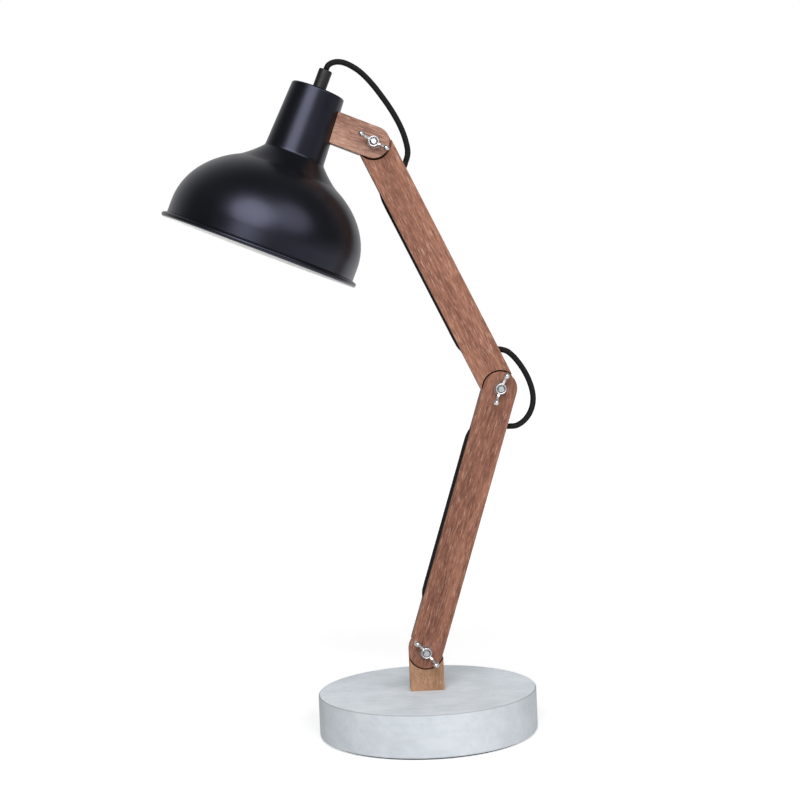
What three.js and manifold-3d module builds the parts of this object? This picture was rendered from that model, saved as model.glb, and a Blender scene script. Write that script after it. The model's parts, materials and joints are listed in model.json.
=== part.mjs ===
// Jointed desk lamp: a concrete disc, an oak post, two wooden arms joined by half laps and
// wing nuts, and a spun metal shade on a short wooden link. Millimetres, +Z up.
// The origin is the centre of the underside. The lamp leans and folds in the XZ plane, the
// shade reaches toward -X, and the wing nuts face -Y.
import * as THREE from 'three';
import { mergeVertices } from 'three/addons/utils/BufferGeometryUtils.js';
import Module from 'manifold-3d';

const wasm = await Module();
wasm.setup();

// ---- driving dimensions -------------------------------------------------------------------
const GAP = 0.3; // clearance between neighbouring pieces
const REST = 0.1; // clearance under what lies on the table

const base = { radius: 105, top: 42, edge: 2, padRadius: 100, padThick: 1.5 };
const arm = { width: 32.5, thick: 20, length: 262 };
const link = { width: 30, length: 65.7 };
const lap = { gap: 1.4, washer: 0.8, washerRadius: 9, shoulder: 17.7, headShoulder: 17.2 };
const basePivotZ = 80;
const lean = { lower: 18, upper: -25, link: -67 }; // degrees from vertical, toward +X

const bolt = { radius: 3, headRadius: 8, headHeight: 3.4, neck: 6.2, neckDepth: 3, reach: 20.5 };
const washer = { radius: 6.4, thick: 1.4 };
const nut = { hubRadius: 6.2, hubTop: 5, hubHeight: 7, wing: 2.4, tipOut: 13.4, tipUp: 10.8 };
const nutTurn = { base: -51, elbow: 66, head: -32 }; // direction of the wings in the XZ plane

const postScrew = {
  x: 8, radius: 2.5, headRadius: 5, headHeight: 3.5, washerRadius: 6.8, boreRadius: 7.5, boreTop: 15.8,
  tip: 60,
};

const shade = {
  sheet: 1, rimRadius: 97.6, bead: 2.3, wall: 93.3, wallTop: 15, domeRise: 74, domeEnd: 58,
  neckFoot: 29.4, neckFootZ: 95, neckTop: 26.1, height: 160.4, corner: 2,
  pivotHeight: 132.4, // height of the head pivot above the rim plane, along the shade's axis
};
const nipple = { radius: 5, bore: 3.4, bottom: 148, top: 170, nutAcross: 14, nutHeight: 3 };
const grip = { radius: 6.5, bottom: 162.5, top: 180.5, ringRadius: 7.1 };
const holder = { radius: 20.5, bore: 14.2, bottom: 96, seam: 138, top: 155.2 };
const bulb = {
  capRadius: 13.1, capBottom: 104.5, capTop: 130, threads: 4, threadDepth: 0.9,
  radius: 30, centre: 51, wall: 1, neckPulls: [[21, 75], [15.1, 86.5]],
};

const cord = { radius: 2.75, channel: 3.35, sides: 8 };
const coil = {
  x: 48, y: 154, radius: 32.5, turnsWide: 3.25, turnsHigh: 2, pitch: 5.6, bottom: 1.2, bevel: 1.8,
};
const tie = { angle: 10, width: 12, thick: 0.8 };
const inlineSwitch = {
  x: -38, y: 122, length: 56, width: 26, height: 17, corner: 9, seam: 8.5,
  relief: 7, reliefWide: 5.4, reliefNarrow: 3.8,
};
const rocker = {
  length: 19, width: 11, rise: 2.6, dip: 1.6, tilt: 7, pivotZ: 15, wellClear: 0.6, wellDepth: 5.5,
};
const plug = {
  x: -30, y: 197.5, length: 36, width: 25, height: 13.8, corner: 5,
  relief: 18, reliefWide: 5.2, reliefNarrow: 3.5, pin: 2, pinLength: 19, pinSpread: 9.3,
};

// ---- materials ----------------------------------------------------------------------------
const finishes = {
  concrete: [0xc9ced3, 0.9, 0], felt: [0x2b2b2d, 1, 0], oak: [0xbf9269, 0.6, 0],
  brownWood: [0xa06f5e, 0.6, 0], darkWood: [0x8e5f51, 0.6, 0], linkWood: [0xae8677, 0.6, 0],
  zinc: [0xc4c6c8, 0.3, 1],
  fibre: [0x3a2a22, 0.9, 0], blackPaint: [0x141416, 0.35, 0.2], blackPlastic: [0x17171a, 0.45, 0],
  braid: [0x111113, 0.9, 0], brass: [0xb89a55, 0.3, 1], opal: [0xf4f2ec, 0.35, 0], velcro: [0x1b1b1d, 1, 0],
};

function material(name) {
  const [color, roughness, metalness] = finishes[name];
  return new THREE.MeshStandardMaterial({ color, roughness, metalness });
}

// ---- helpers ------------------------------------------------------------------------------
const radians = THREE.MathUtils.degToRad;

function toSolid(geometry) {
  const bare = geometry.index ? geometry.toNonIndexed() : geometry.clone();
  bare.deleteAttribute('normal');
  bare.deleteAttribute('uv');
  const merged = mergeVertices(bare, 1e-4);
  return new wasm.Manifold(new wasm.Mesh({
    numProp: 3,
    vertProperties: new Float32Array(merged.attributes.position.array),
    triVerts: new Uint32Array(merged.index.array),
  }));
}

function toGeometry(solid) {
  const mesh = solid.getMesh();
  const geometry = new THREE.BufferGeometry();
  geometry.setAttribute('position', new THREE.BufferAttribute(mesh.vertProperties, 3));
  geometry.setIndex(new THREE.BufferAttribute(mesh.triVerts, 1));
  return geometry;
}

// Cuts every tool from a body. All are geometries in the same frame.
function cut(body, tools) {
  return toGeometry(tools.reduce((solid, tool) => solid.subtract(toSolid(tool)), toSolid(body)));
}

function join(pieces) {
  return toGeometry(pieces.map(toSolid).reduce((whole, piece) => whole.add(piece)));
}

// Turns a closed [radius, height] profile about +Z.
function lathe(profile, segments = 32) {
  const closed = [...profile, profile[0]].map(([r, z]) => new THREE.Vector2(r, z));
  return new THREE.LatheGeometry(closed, segments).rotateX(Math.PI / 2);
}

// Turns a profile that starts and ends on the axis about +Z.
function turned(profile, segments = 32) {
  const open = profile.map(([r, z]) => new THREE.Vector2(r, z));
  return new THREE.LatheGeometry(open, segments).rotateX(Math.PI / 2);
}

function disc(radius, low, high, segments = 32) {
  return turned([[0, low], [radius, low], [radius, high], [0, high]], segments);
}

function ring(inner, outer, low, high, segments = 32) {
  return lathe([[inner, low], [outer, low], [outer, high], [inner, high]], segments);
}

function box(x, y, z) {
  const size = [x, y, z].map(([low, high]) => high - low);
  const middle = [x, y, z].map(([low, high]) => (high + low) / 2);
  return new THREE.BoxGeometry(...size).translate(...middle);
}

// Points on an arc of a circle in profile coordinates, both ends included, angles in degrees.
function arc(centreR, centreZ, radius, from, to, steps) {
  return Array.from({ length: steps + 1 }, (_, i) => {
    const angle = radians(from + ((to - from) * i) / steps);
    return [centreR + radius * Math.cos(angle), centreZ + radius * Math.sin(angle)];
  });
}

// Points on a cubic curve in profile coordinates after its start, the end included.
function curve(start, firstPull, secondPull, end, steps) {
  const corners = [start, firstPull, secondPull, end].map((p) => new THREE.Vector2(...p));
  return new THREE.CubicBezierCurve(...corners).getPoints(steps).slice(1).map((p) => [p.x, p.y]);
}

// A flat plate: a shape extruded from z = low to z = high.
function plate(shape, low, high, curveSegments = 4) {
  const options = { depth: high - low, bevelEnabled: false, curveSegments };
  return new THREE.ExtrudeGeometry(shape, options).translate(0, 0, low);
}

// Lays a shape drawn on axis Z along the Y axis instead, so that its +Z end points to -Y.
function alongFront(geometry) {
  return geometry.rotateX(Math.PI / 2);
}

// A round cord along a hand-chosen route of [x, y, z] points.
function cordTube(route, radius = cord.radius, step = 10) {
  const path = new THREE.CatmullRomCurve3(route.map((p) => new THREE.Vector3(...p)), false, 'centripetal');
  const section = new THREE.Shape();
  for (let i = 0; i < cord.sides; i += 1) {
    const angle = (2 * Math.PI * (i + 0.5)) / cord.sides;
    const method = i === 0 ? 'moveTo' : 'lineTo';
    section[method](radius * Math.cos(angle), radius * Math.sin(angle));
  }
  const steps = Math.ceil(path.getLength() / step);
  return new THREE.ExtrudeGeometry(section, { extrudePath: path, steps, bevelEnabled: false });
}

function pivotAfter(pivot, degrees, length) {
  const angle = radians(degrees);
  return pivot.clone().add(new THREE.Vector3(Math.sin(angle) * length, 0, Math.cos(angle) * length));
}

const basePivot = new THREE.Vector3(0, 0, basePivotZ);
const elbowPivot = pivotAfter(basePivot, lean.lower, arm.length);
const headPivot = pivotAfter(elbowPivot, lean.upper, arm.length);

const lamp = new THREE.Group();

// A group whose origin is a pivot and whose +Z leans by the given angle toward +X.
function leaningGroup(pivot, degrees) {
  const group = new THREE.Group();
  group.position.copy(pivot);
  group.rotation.y = radians(degrees);
  lamp.add(group);
  return group;
}

const lowerArmFrame = leaningGroup(basePivot, lean.lower);
const upperArmFrame = leaningGroup(elbowPivot, lean.upper);
const linkFrame = leaningGroup(headPivot, lean.link);

// The shade's own frame: origin at the centre of the rim, +Z up its axis, link toward +X.
const shadeFrame = new THREE.Group();
shadeFrame.position.set(-shade.pivotHeight, 0, link.length);
shadeFrame.rotation.y = Math.PI / 2;
linkFrame.add(shadeFrame);

function addPart(frame, name, geometry, finish) {
  const mesh = new THREE.Mesh(geometry, material(finish));
  mesh.name = name;
  frame.add(mesh);
  return mesh;
}

// ---- half-lap joints ----------------------------------------------------------------------
const halfThick = arm.thick / 2;
const halfLap = lap.gap / 2;

// A flat bar in the XZ plane with round ends about its two pivots, or a square end where
// roundBottom or roundTop is false.
function bar(width, bottom, top, roundBottom, roundTop) {
  const half = width / 2;
  const outline = new THREE.Shape();
  outline.moveTo(half, bottom);
  outline.lineTo(half, top);
  if (roundTop) outline.absarc(0, top, half, 0, Math.PI, false);
  else outline.lineTo(-half, top);
  outline.lineTo(-half, bottom);
  if (roundBottom) outline.absarc(0, bottom, half, Math.PI, 2 * Math.PI, false);
  return alongFront(plate(outline, -halfThick, halfThick, 16));
}

// What is cut from a bar at a pivot to leave a tongue on its front (-Y) or rear (+Y) half.
function lapCut(z, shoulderRadius, tongueSide) {
  const [low, high] = tongueSide === 'front' ? [-halfThick - 1, halfLap] : [-halfLap, halfThick + 1];
  return alongFront(disc(shoulderRadius, low, high, 48)).translate(0, 0, z);
}

function boltHole(z) {
  return alongFront(disc(bolt.radius + GAP, -halfThick - 1, halfThick + 1, 20)).translate(0, 0, z);
}

// The square pocket that holds a carriage bolt's neck in the rear tongue.
function neckPocket(z) {
  const half = bolt.neck / 2 + GAP;
  return box([-half, half], [halfThick - bolt.neckDepth - GAP, halfThick + 1], [z - half, z + half]);
}

// ---- base and post ------------------------------------------------------------------------
function concreteBase() {
  const bottom = base.padThick + GAP;
  const { radius, top, edge } = base;
  const profile = [
    [0, bottom], [radius - edge, bottom],
    ...arc(radius - edge, bottom + edge, edge, -60, 0, 2),
    ...arc(radius - edge, top - edge, edge, 0, 90, 3),
    [0, top],
  ];
  const tools = [-postScrew.x, postScrew.x].flatMap((x) => [
    disc(postScrew.boreRadius, 0, postScrew.boreTop, 24).translate(x, 0, 0),
    disc(postScrew.radius + GAP, 0, top + 1, 16).translate(x, 0, 0),
  ]);
  return cut(turned(profile, 60), tools);
}

function basePost() {
  const foot = base.top + GAP;
  const pilots = [-postScrew.x, postScrew.x].map(
    (x) => disc(postScrew.radius + GAP, foot - 1, postScrew.tip + 1, 16).translate(x, 0, 0),
  );
  const stock = bar(arm.width, foot, basePivotZ, false, true);
  const tools = [lapCut(basePivotZ, lap.shoulder, 'rear'), boltHole(basePivotZ), neckPocket(basePivotZ)];
  return cut(stock, [...tools, ...pilots]);
}

function panHeadScrew() {
  const seat = postScrew.boreTop - GAP - washer.thick - GAP;
  const { radius, headRadius, headHeight, tip } = postScrew;
  return turned([
    [0, seat - headHeight], [headRadius - 1.5, seat - headHeight], [headRadius, seat - headHeight + 1.5],
    [headRadius, seat], [radius, seat], [radius, tip - 5], [0, tip],
  ], 20);
}

addPart(lamp, 'felt_pad', disc(base.padRadius, 0, base.padThick, 64), 'felt');
addPart(lamp, 'concrete_base', concreteBase(), 'concrete');
addPart(lamp, 'base_post', basePost(), 'oak');
for (const [name, x] of [['left', -postScrew.x], ['right', postScrew.x]]) {
  const seat = postScrew.boreTop - GAP;
  addPart(lamp, `post_screw_${name}`, panHeadScrew(), 'zinc').position.x = x;
  const flatRing = ring(postScrew.radius + GAP, postScrew.washerRadius, seat - washer.thick, seat, 24);
  addPart(lamp, `post_screw_washer_${name}`, flatRing, 'zinc').position.x = x;
}

// ---- arms ---------------------------------------------------------------------------------
// The lead crosses each arm through a slanting hole near its ends and lies half sunk in a
// groove down the arm's left edge between them. Points are in the arm's own frame.
const grooveX = { upper: -15.7, lower: -16.4 };
const grooveRun = (x) => [
  [-4, 0, 223.2], [-12.3, 0, 219.2], [x + 0.6, 0, 212], [x, 0, 203], [x, 0, 190],
  [x, 0, 74], [x, 0, 61],
];
const upperChannel = [
  [19.5, 0, 232.5], [14.5, 0, 227.8], [6, 0, 225.6], ...grooveRun(grooveX.upper),
  [-15.1, 0, 52], [-12, 0, 45.5], [-4, 0, 41.5], [6, 0, 38.8], [12.6, 0, 36], [17.8, 0, 32.6],
];
const lowerChannel = [
  [18, 0, 229], [8, 0, 226.3], ...grooveRun(grooveX.lower),
  [-15.8, 0.4, 53], [-12.6, 2.4, 46.4], [-8, 6.2, 42], [-4.8, 13, 39.2],
];

function armBar(tongueSide, topShoulder, channel) {
  const tools = [
    lapCut(0, lap.shoulder, tongueSide), boltHole(0),
    lapCut(arm.length, topShoulder, tongueSide), boltHole(arm.length),
  ];
  if (tongueSide === 'rear') tools.push(neckPocket(0), neckPocket(arm.length));
  return cut(bar(arm.width, 0, arm.length, true, true), [...tools, cordTube(channel, cord.channel)]);
}

addPart(lowerArmFrame, 'lower_arm', armBar('front', lap.shoulder, lowerChannel), 'darkWood');
addPart(upperArmFrame, 'upper_arm', armBar('rear', lap.headShoulder, upperChannel), 'brownWood');
addPart(lowerArmFrame, 'lower_arm_cord', cordTube(lowerChannel), 'braid');
addPart(upperArmFrame, 'upper_arm_cord', cordTube(upperChannel), 'braid');

// ---- hardware at each pivot ---------------------------------------------------------------
// Drawn on +Z, which alongFront turns to -Y: the domed head is at the rear of the lamp.
function carriageBolt() {
  const rear = -halfThick - GAP;
  const half = bolt.neck / 2;
  const dome = Array.from({ length: 5 }, (_, i) => {
    const angle = radians(90 - (i * 90) / 4);
    return [bolt.headRadius * Math.cos(angle), rear - bolt.headHeight * Math.sin(angle)];
  });
  const shank = turned([
    ...dome, [bolt.radius, rear], [bolt.radius, bolt.reach - 0.8], [bolt.radius - 0.8, bolt.reach],
    [0, bolt.reach],
  ], 20);
  const neck = box([-half, half], [-half, half], [rear - 0.5, rear + bolt.neckDepth]);
  return alongFront(join([shank, neck]));
}

function wingNut() {
  const hub = lathe([
    [bolt.radius + GAP, 0], [nut.hubRadius, 0], [nut.hubRadius, 1.5], [nut.hubTop, nut.hubHeight],
    [bolt.radius + GAP, nut.hubHeight],
  ], 16);
  const wing = new THREE.Shape();
  wing.moveTo(4, 1);
  wing.quadraticCurveTo(10, 1.8, nut.tipOut + 2.2, nut.tipUp - 2.5);
  wing.absarc(nut.tipOut, nut.tipUp, 2.6, radians(-40), radians(160), false);
  wing.quadraticCurveTo(8.5, nut.hubHeight - 0.5, 4, nut.hubHeight - 1);
  const web = alongFront(plate(wing, -nut.wing / 2, nut.wing / 2, 3));
  const tip = new THREE.SphereGeometry(1, 10, 6).scale(2.9, 2.2, 4.2);
  tip.translate(nut.tipOut, 0, nut.tipUp - 0.6);
  const pieces = [hub, web, tip, web.clone().rotateZ(Math.PI), tip.clone().rotateZ(Math.PI)];
  return alongFront(join(pieces).translate(0, 0, halfThick + GAP + washer.thick + GAP));
}

// Each bolt is turned with the bar whose rear tongue holds its square neck.
const pivots = [['base', basePivot, 0], ['elbow', elbowPivot, lean.upper], ['head', headPivot, lean.upper]];
for (const [name, pivot, neckTurn] of pivots) {
  const front = halfThick + GAP;
  const hole = bolt.radius + GAP;
  const flatWasher = alongFront(ring(hole, washer.radius, front, front + washer.thick, 20));
  const fibreWasher = alongFront(ring(hole, lap.washerRadius, -lap.washer / 2, lap.washer / 2, 20));
  const through = addPart(lamp, `${name}_bolt`, carriageBolt(), 'zinc');
  through.position.copy(pivot);
  through.rotation.y = radians(neckTurn);
  addPart(lamp, `${name}_washer`, flatWasher, 'zinc').position.copy(pivot);
  addPart(lamp, `${name}_fibre_washer`, fibreWasher, 'fibre').position.copy(pivot);
  const wings = addPart(lamp, `${name}_wing_nut`, wingNut(), 'zinc');
  wings.position.copy(pivot);
  wings.rotation.y = -radians(nutTurn[name]);
}

// ---- shade --------------------------------------------------------------------------------
// The outer line of the sheet, from the rim's rolled bead up to the hole in its top.
function shadeOutline() {
  const { wall, wallTop, domeRise, domeEnd, neckFoot, neckFootZ, neckTop, height, corner } = shade;
  const rolled = arc(shade.rimRadius - shade.bead, 0, shade.bead, -90, 80, 5);
  const dome = arc(0, 0, 1, 0, domeEnd, 9).map(([r, z]) => [wall * r, wallTop + domeRise * z]);
  const [endR, endZ] = dome.at(-1);
  const pulls = [[endR - 5.4, endZ + 2.7], [neckFoot + 3.9, neckFootZ - 4.6]];
  const fillet = curve([endR, endZ], ...pulls, [neckFoot, neckFootZ], 5);
  const shoulder = arc(neckTop - corner, height - corner, corner, 0, 90, 2);
  return [...rolled, [wall, 3.2], ...dome, ...fillet, ...shoulder];
}

// The same line moved inward by the sheet's thickness, along each point's normal.
function moveInward(line, distance) {
  return line.map(([r, z], i) => {
    const [beforeR, beforeZ] = line[Math.max(i - 1, 0)];
    const [afterR, afterZ] = line[Math.min(i + 1, line.length - 1)];
    const [dr, dz] = [afterR - beforeR, afterZ - beforeZ];
    const length = Math.hypot(dr, dz);
    return [r - (dz / length) * distance, z + (dr / length) * distance];
  });
}

function shadeShell() {
  const { wall, wallTop, sheet, height, bead, neckTop, corner } = shade;
  const hole = nipple.radius + GAP;
  const outer = shadeOutline();
  const sides = outer.filter(([, z]) => z >= wallTop && z <= height - corner);
  return lathe([
    ...outer, [hole, height], [hole, height - sheet], [neckTop - corner, height - sheet],
    ...moveInward(sides, sheet).reverse(), [wall - sheet, 1 - bead],
  ], 44);
}

const neckRadiusAt = (z) => THREE.MathUtils.mapLinear(
  z, shade.neckFootZ, shade.height - shade.corner, shade.neckFoot, shade.neckTop,
);

// ---- link between the head pivot and the shade's neck -------------------------------------
const linkScrew = { spread: 9, radius: 1.8, headRadius: 3.6, headHeight: 2.4, depth: 15 };

function linkScrewAt(height) {
  // the wall of the neck at the screw's height, seen from the shade's axis toward the link
  const wall = neckRadiusAt(height) - shade.sheet;
  const tip = wall + linkScrew.depth;
  const head = wall - GAP;
  const body = turned([
    [0, head - linkScrew.headHeight], [linkScrew.headRadius - 1, head - linkScrew.headHeight],
    [linkScrew.headRadius, head - 1], [linkScrew.headRadius, head], [linkScrew.radius, head],
    [linkScrew.radius, tip - 3], [0, tip],
  ], 16);
  return body.rotateY(Math.PI / 2).translate(0, 0, height);
}

const linkScrewHeights = [-1, 1].map((side) => shade.pivotHeight + side * linkScrew.spread);

// A round hole along the shade's local X, out to a given distance from the axis.
function crossHole(radius, height, reach) {
  return disc(radius, 0, reach, 16).rotateY(Math.PI / 2).translate(0, 0, height);
}

function headLink() {
  // in the shade's frame the link lies along X, with its pivot at link.length from the axis
  const tools = [
    lapCut(0, lap.headShoulder, 'front'),
    boltHole(0),
  ];
  const stock = bar(link.width, 0, link.length - 5, true, false);
  const blank = cut(stock, tools).rotateY(-Math.PI / 2).translate(link.length, 0, shade.pivotHeight);
  const clear = GAP + 0.05;
  const low = shade.pivotHeight - link.width;
  const high = shade.pivotHeight + link.width;
  const neck = turned([
    [0, low], [neckRadiusAt(low) + clear, low], [neckRadiusAt(high) + clear, high], [0, high],
  ], 64);
  const pilots = linkScrewHeights.map(
    (z) => crossHole(linkScrew.radius + GAP, z, neckRadiusAt(z) + linkScrew.depth + 1),
  );
  return cut(blank, [neck, ...pilots]);
}

function drilledShade() {
  const holes = linkScrewHeights.map((z) => crossHole(linkScrew.radius + GAP, z, neckRadiusAt(z) + 2));
  return cut(shadeShell(), holes);
}

addPart(shadeFrame, 'shade', drilledShade(), 'blackPaint');
addPart(shadeFrame, 'head_link', headLink(), 'linkWood');
linkScrewHeights.forEach((z, i) => {
  addPart(shadeFrame, `link_screw_${i + 1}`, linkScrewAt(z), 'zinc');
});

// ---- cord grip, nipple, lampholder and bulb, on the shade's axis --------------------------
function cableGrip() {
  const thread = nipple.radius + GAP;
  const bore = cord.radius + GAP;
  const { radius, bottom, top } = grip;
  return lathe([
    [thread, bottom], [radius, bottom], [radius, top - 1], [radius - 1, top], [bore, top],
    [bore, nipple.top + GAP], [thread, nipple.top + GAP],
  ], 24);
}

function lampholderCap() {
  const { radius, seam, top } = holder;
  const hole = nipple.radius + GAP;
  return lathe([
    [radius - 2, seam + GAP], [radius, seam + GAP], [radius, seam + 4],
    ...arc(radius - 8, seam + 4, 8, 15, 75, 3),
    [9.5, top - 2], [9, top], [hole, top], [hole, top - 2], [8, top - 3.5], [radius - 2, seam + 3.5],
  ], 28);
}

function lampholderShell() {
  const { radius, bore, bottom, seam } = holder;
  return turned([
    [0, seam - 3], [bore, seam - 3], [bore, bottom], [radius - 1.5, bottom], [radius, bottom + 1.5],
    [radius, seam], [0, seam],
  ], 28);
}

// The bulb hangs cap up: an opal globe open at its neck, glued around the screw cap's foot.
function bulbGlobe() {
  const { radius, centre, wall, capRadius, capBottom, neckPulls } = bulb;
  const mouth = [capRadius - 1.5, capBottom - GAP];
  const ball = arc(0, centre, radius, -90, 28, 9);
  const neck = curve(ball.at(-1), ...neckPulls, mouth, 4);
  const outer = [...ball, ...neck];
  const inner = moveInward(outer, wall).reverse();
  inner[inner.length - 1] = [0, centre - radius + wall];
  inner[0] = [mouth[0] - wall, mouth[1]];
  return turned([...outer, ...inner], 24);
}

function bulbCap() {
  const { capRadius, capBottom, capTop, threads, threadDepth } = bulb;
  const root = capRadius - threadDepth;
  const pitch = (capTop - capBottom - 6) / threads;
  const ridges = Array.from({ length: threads }, (_, i) => [
    [capRadius, capBottom + pitch * (i + 0.5)],
    [root, capBottom + pitch * (i + 1)],
  ]).flat();
  return turned([
    [0, capBottom], [root, capBottom], ...ridges, [root, capTop - 4], [5, capTop],
    [4.2, capTop + 1.8], [0, capTop + 1.8],
  ], 20);
}

// The hexagonal nut under the shade's roof.
function nippleNut() {
  const seat = shade.height - shade.sheet - GAP;
  const hexagon = disc(nipple.nutAcross / Math.sqrt(3), seat - nipple.nutHeight, seat, 6);
  return cut(hexagon, [disc(nipple.radius + GAP, 0, shade.height, 24)]);
}

function nippleTube() {
  return ring(nipple.bore, nipple.radius, nipple.bottom, nipple.top, 24);
}

function gripRing() {
  return ring(nipple.radius + GAP, grip.ringRadius, shade.height + GAP, grip.bottom - GAP, 24);
}

addPart(shadeFrame, 'cable_grip', cableGrip(), 'blackPlastic');
addPart(shadeFrame, 'grip_ring', gripRing(), 'zinc');
addPart(shadeFrame, 'threaded_nipple', nippleTube(), 'zinc');
addPart(shadeFrame, 'nipple_nut', nippleNut(), 'zinc');
addPart(shadeFrame, 'lampholder_cap', lampholderCap(), 'blackPlastic');
addPart(shadeFrame, 'lampholder_shell', lampholderShell(), 'blackPlastic');
addPart(shadeFrame, 'bulb_cap', bulbCap(), 'brass');
addPart(shadeFrame, 'bulb_globe', bulbGlobe(), 'opal');

// ---- free loops of the lead across the head and the elbow ---------------------------------
const headLoop = [
  [-71.2, 0, 637.2], [-69.4, 0, 640.7], [-66.2, 0, 642.9], [-60.8, 0, 644], [-54.5, 0, 643],
  [-47, 0, 639.4], [-40, 0, 634.4], [-33.5, 0, 628], [-26.6, 0, 619.7], [-20.6, 0, 611.3],
  [-14.6, 0, 602.3], [-9.1, 0, 593], [-4.4, 0, 583.6], [-0.7, 0, 574.2], [1.6, 0, 565.4],
  [2.6, 0, 558.8], [2.2, 0, 553.4], [0.6, 0, 548.7],
];
const elbowLoop = [
  [83.9, 0, 366.15], [89.2, 0, 364.4], [95, 0, 359.6], [101, 0, 352], [106.6, 0, 342.6], [110.6, 0, 332.8],
  [112.7, 0, 324], [113, 0, 316.6], [111.4, 0, 308.8], [107.6, 0, 301.5], [102, 0, 295.7], [95.2, 0, 292.4],
  [88.5, 0, 292.2],
];
addPart(lamp, 'head_cord_loop', cordTube(headLoop, cord.radius, 7), 'braid');
addPart(lamp, 'elbow_cord_loop', cordTube(elbowLoop, cord.radius, 7), 'braid');

// ---- mains lead behind the base -----------------------------------------------------------
// It leaves the rear of the lower arm, falls to the disc, drops off its rear edge to the
// table, turns back through the inline switch, and is coiled beside it.
const leadToSwitch = [
  [7.7, 13.5, 118.5], [9.5, 18.4, 115.4], [11.4, 23.6, 109.8], [12.6, 28, 102], [12.8, 32, 90],
  [12, 35, 76], [10.8, 39, 62], [9.8, 46.5, 51], [9.2, 58, 45.6], [8.8, 72, 45], [8.4, 86, 45],
  [7.6, 98, 45.3], [6, 109, 43.8], [3.6, 120, 38], [0.4, 131.5, 28], [-5, 143, 17],
  [-13, 153.5, 8.5], [-24, 161.8, 4], [-38, 166.5, 2.9], [-52, 168.3, 2.9], [-64, 168.6, 2.9],
  [-75, 168, 2.9], [-86.5, 164.9, 2.9], [-94.9, 156.5, 2.9], [-98, 145, 3.3], [-94.9, 133.5, 4.6],
  [-86.5, 125.1, 6.3], [-75, 122.2, 7.9],
];
const leadToCoil = [[-1, 122, 8.5], [7, 120.8, 8.3], [14, 118.8, 7.8]];
const leadToPlug = [[28, 197.6, 8.2], [22, 197.8, 7.8], [16, 197.7, 7.2], [7, 197.5, 7]];
addPart(lamp, 'mains_lead', cordTube(leadToSwitch), 'braid');
addPart(lamp, 'lead_switch_to_coil', cordTube(leadToCoil), 'braid');
addPart(lamp, 'lead_coil_to_plug', cordTube(leadToPlug), 'braid');

function coilSection() {
  const halfWide = (coil.turnsWide * coil.pitch) / 2 + cord.radius;
  const high = coil.turnsHigh * coil.pitch;
  return { inner: coil.radius - halfWide, outer: coil.radius + halfWide, top: coil.bottom + high };
}

function coilRing() {
  const { inner, outer, top } = coilSection();
  const { bottom, bevel } = coil;
  return lathe([
    [inner, bottom + bevel], [inner + bevel, bottom], [outer - bevel, bottom], [outer, bottom + bevel],
    [outer, top - bevel], [outer - bevel, top], [inner + bevel, top], [inner, top - bevel],
  ], 40);
}

// A strap that wraps the coil's section once, at one place round the coil.
function coilTie() {
  const { inner, outer, top } = coilSection();
  const clear = GAP + 0.1;
  const bow = inner - Math.sqrt(inner ** 2 - (tie.width / 2) ** 2); // of the ring's inner wall
  const span = (grow) => [
    [inner - bow - clear - grow, outer + clear + grow], [-tie.width / 2, tie.width / 2],
    [coil.bottom - clear / 2 - grow, top + clear + grow],
  ];
  const hole = span(0);
  hole[1] = [-tie.width, tie.width];
  return cut(box(...span(tie.thick)), [box(...hole)]);
}

addPart(lamp, 'lead_coil', coilRing(), 'braid').position.set(coil.x, coil.y, 0);
const strap = addPart(lamp, 'coil_tie', coilTie(), 'velcro');
strap.position.set(coil.x, coil.y, 0);
strap.rotation.z = radians(tie.angle);

// ---- inline rocker switch and flat plug ---------------------------------------------------
// A rounded slab from one height to another, centred on the origin.
function roundedSlab(length, width, low, high, corner) {
  const [x, y] = [length / 2, width / 2];
  const outline = new THREE.Shape();
  outline.absarc(x - corner, y - corner, corner, 0, Math.PI / 2, false);
  outline.absarc(-x + corner, y - corner, corner, Math.PI / 2, Math.PI, false);
  outline.absarc(-x + corner, -y + corner, corner, Math.PI, 1.5 * Math.PI, false);
  outline.absarc(x - corner, -y + corner, corner, 1.5 * Math.PI, 2 * Math.PI, false);
  return plate(outline, low, high);
}

// A tapered sleeve along X from a housing's end, at x, to its thin end.
function reliefSleeve(x, length, z, wide, narrow) {
  const sleeve = turned([[0, 0], [wide, 0], [narrow, Math.abs(length)], [0, Math.abs(length)]], 16);
  return sleeve.rotateY(Math.sign(length) * Math.PI / 2).translate(x, 0, z);
}

// The upper or lower half of the switch's housing, with its half of the strain reliefs.
function switchShell(isUpper) {
  const { length, width, height, corner, seam, relief, reliefWide, reliefNarrow } = inlineSwitch;
  const end = length / 2 - 0.5;
  const [low, high] = isUpper ? [seam + GAP / 2, height] : [REST, seam - GAP / 2];
  const sleeves = [1, -1].map(
    (side) => reliefSleeve(side * end, side * relief, seam, reliefWide, reliefNarrow),
  );
  const whole = join([roundedSlab(length, width, low, high, corner), ...sleeves]);
  const otherHalf = box([-length, length], [-width, width], isUpper ? [0, low] : [high, height]);
  if (!isUpper) return cut(whole, [otherHalf]);
  const halfLong = rocker.length / 2 + rocker.wellClear;
  const halfWide = rocker.width / 2 + rocker.wellClear;
  const well = box([-halfLong, halfLong], [-halfWide, halfWide], [height - rocker.wellDepth, height + 1]);
  return cut(whole, [otherHalf, well]);
}

// A rocker key with a shallow V on top, tilted about its cross axis.
function rockerKey() {
  const half = rocker.length / 2;
  const key = new THREE.Shape();
  key.moveTo(-half + 0.8, -2);
  key.lineTo(half - 0.8, -2);
  key.lineTo(half, rocker.rise + rocker.dip);
  key.lineTo(0, rocker.rise);
  key.lineTo(-half, rocker.rise + rocker.dip);
  key.closePath();
  return alongFront(plate(key, -rocker.width / 2, rocker.width / 2)).rotateY(radians(rocker.tilt));
}

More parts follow.
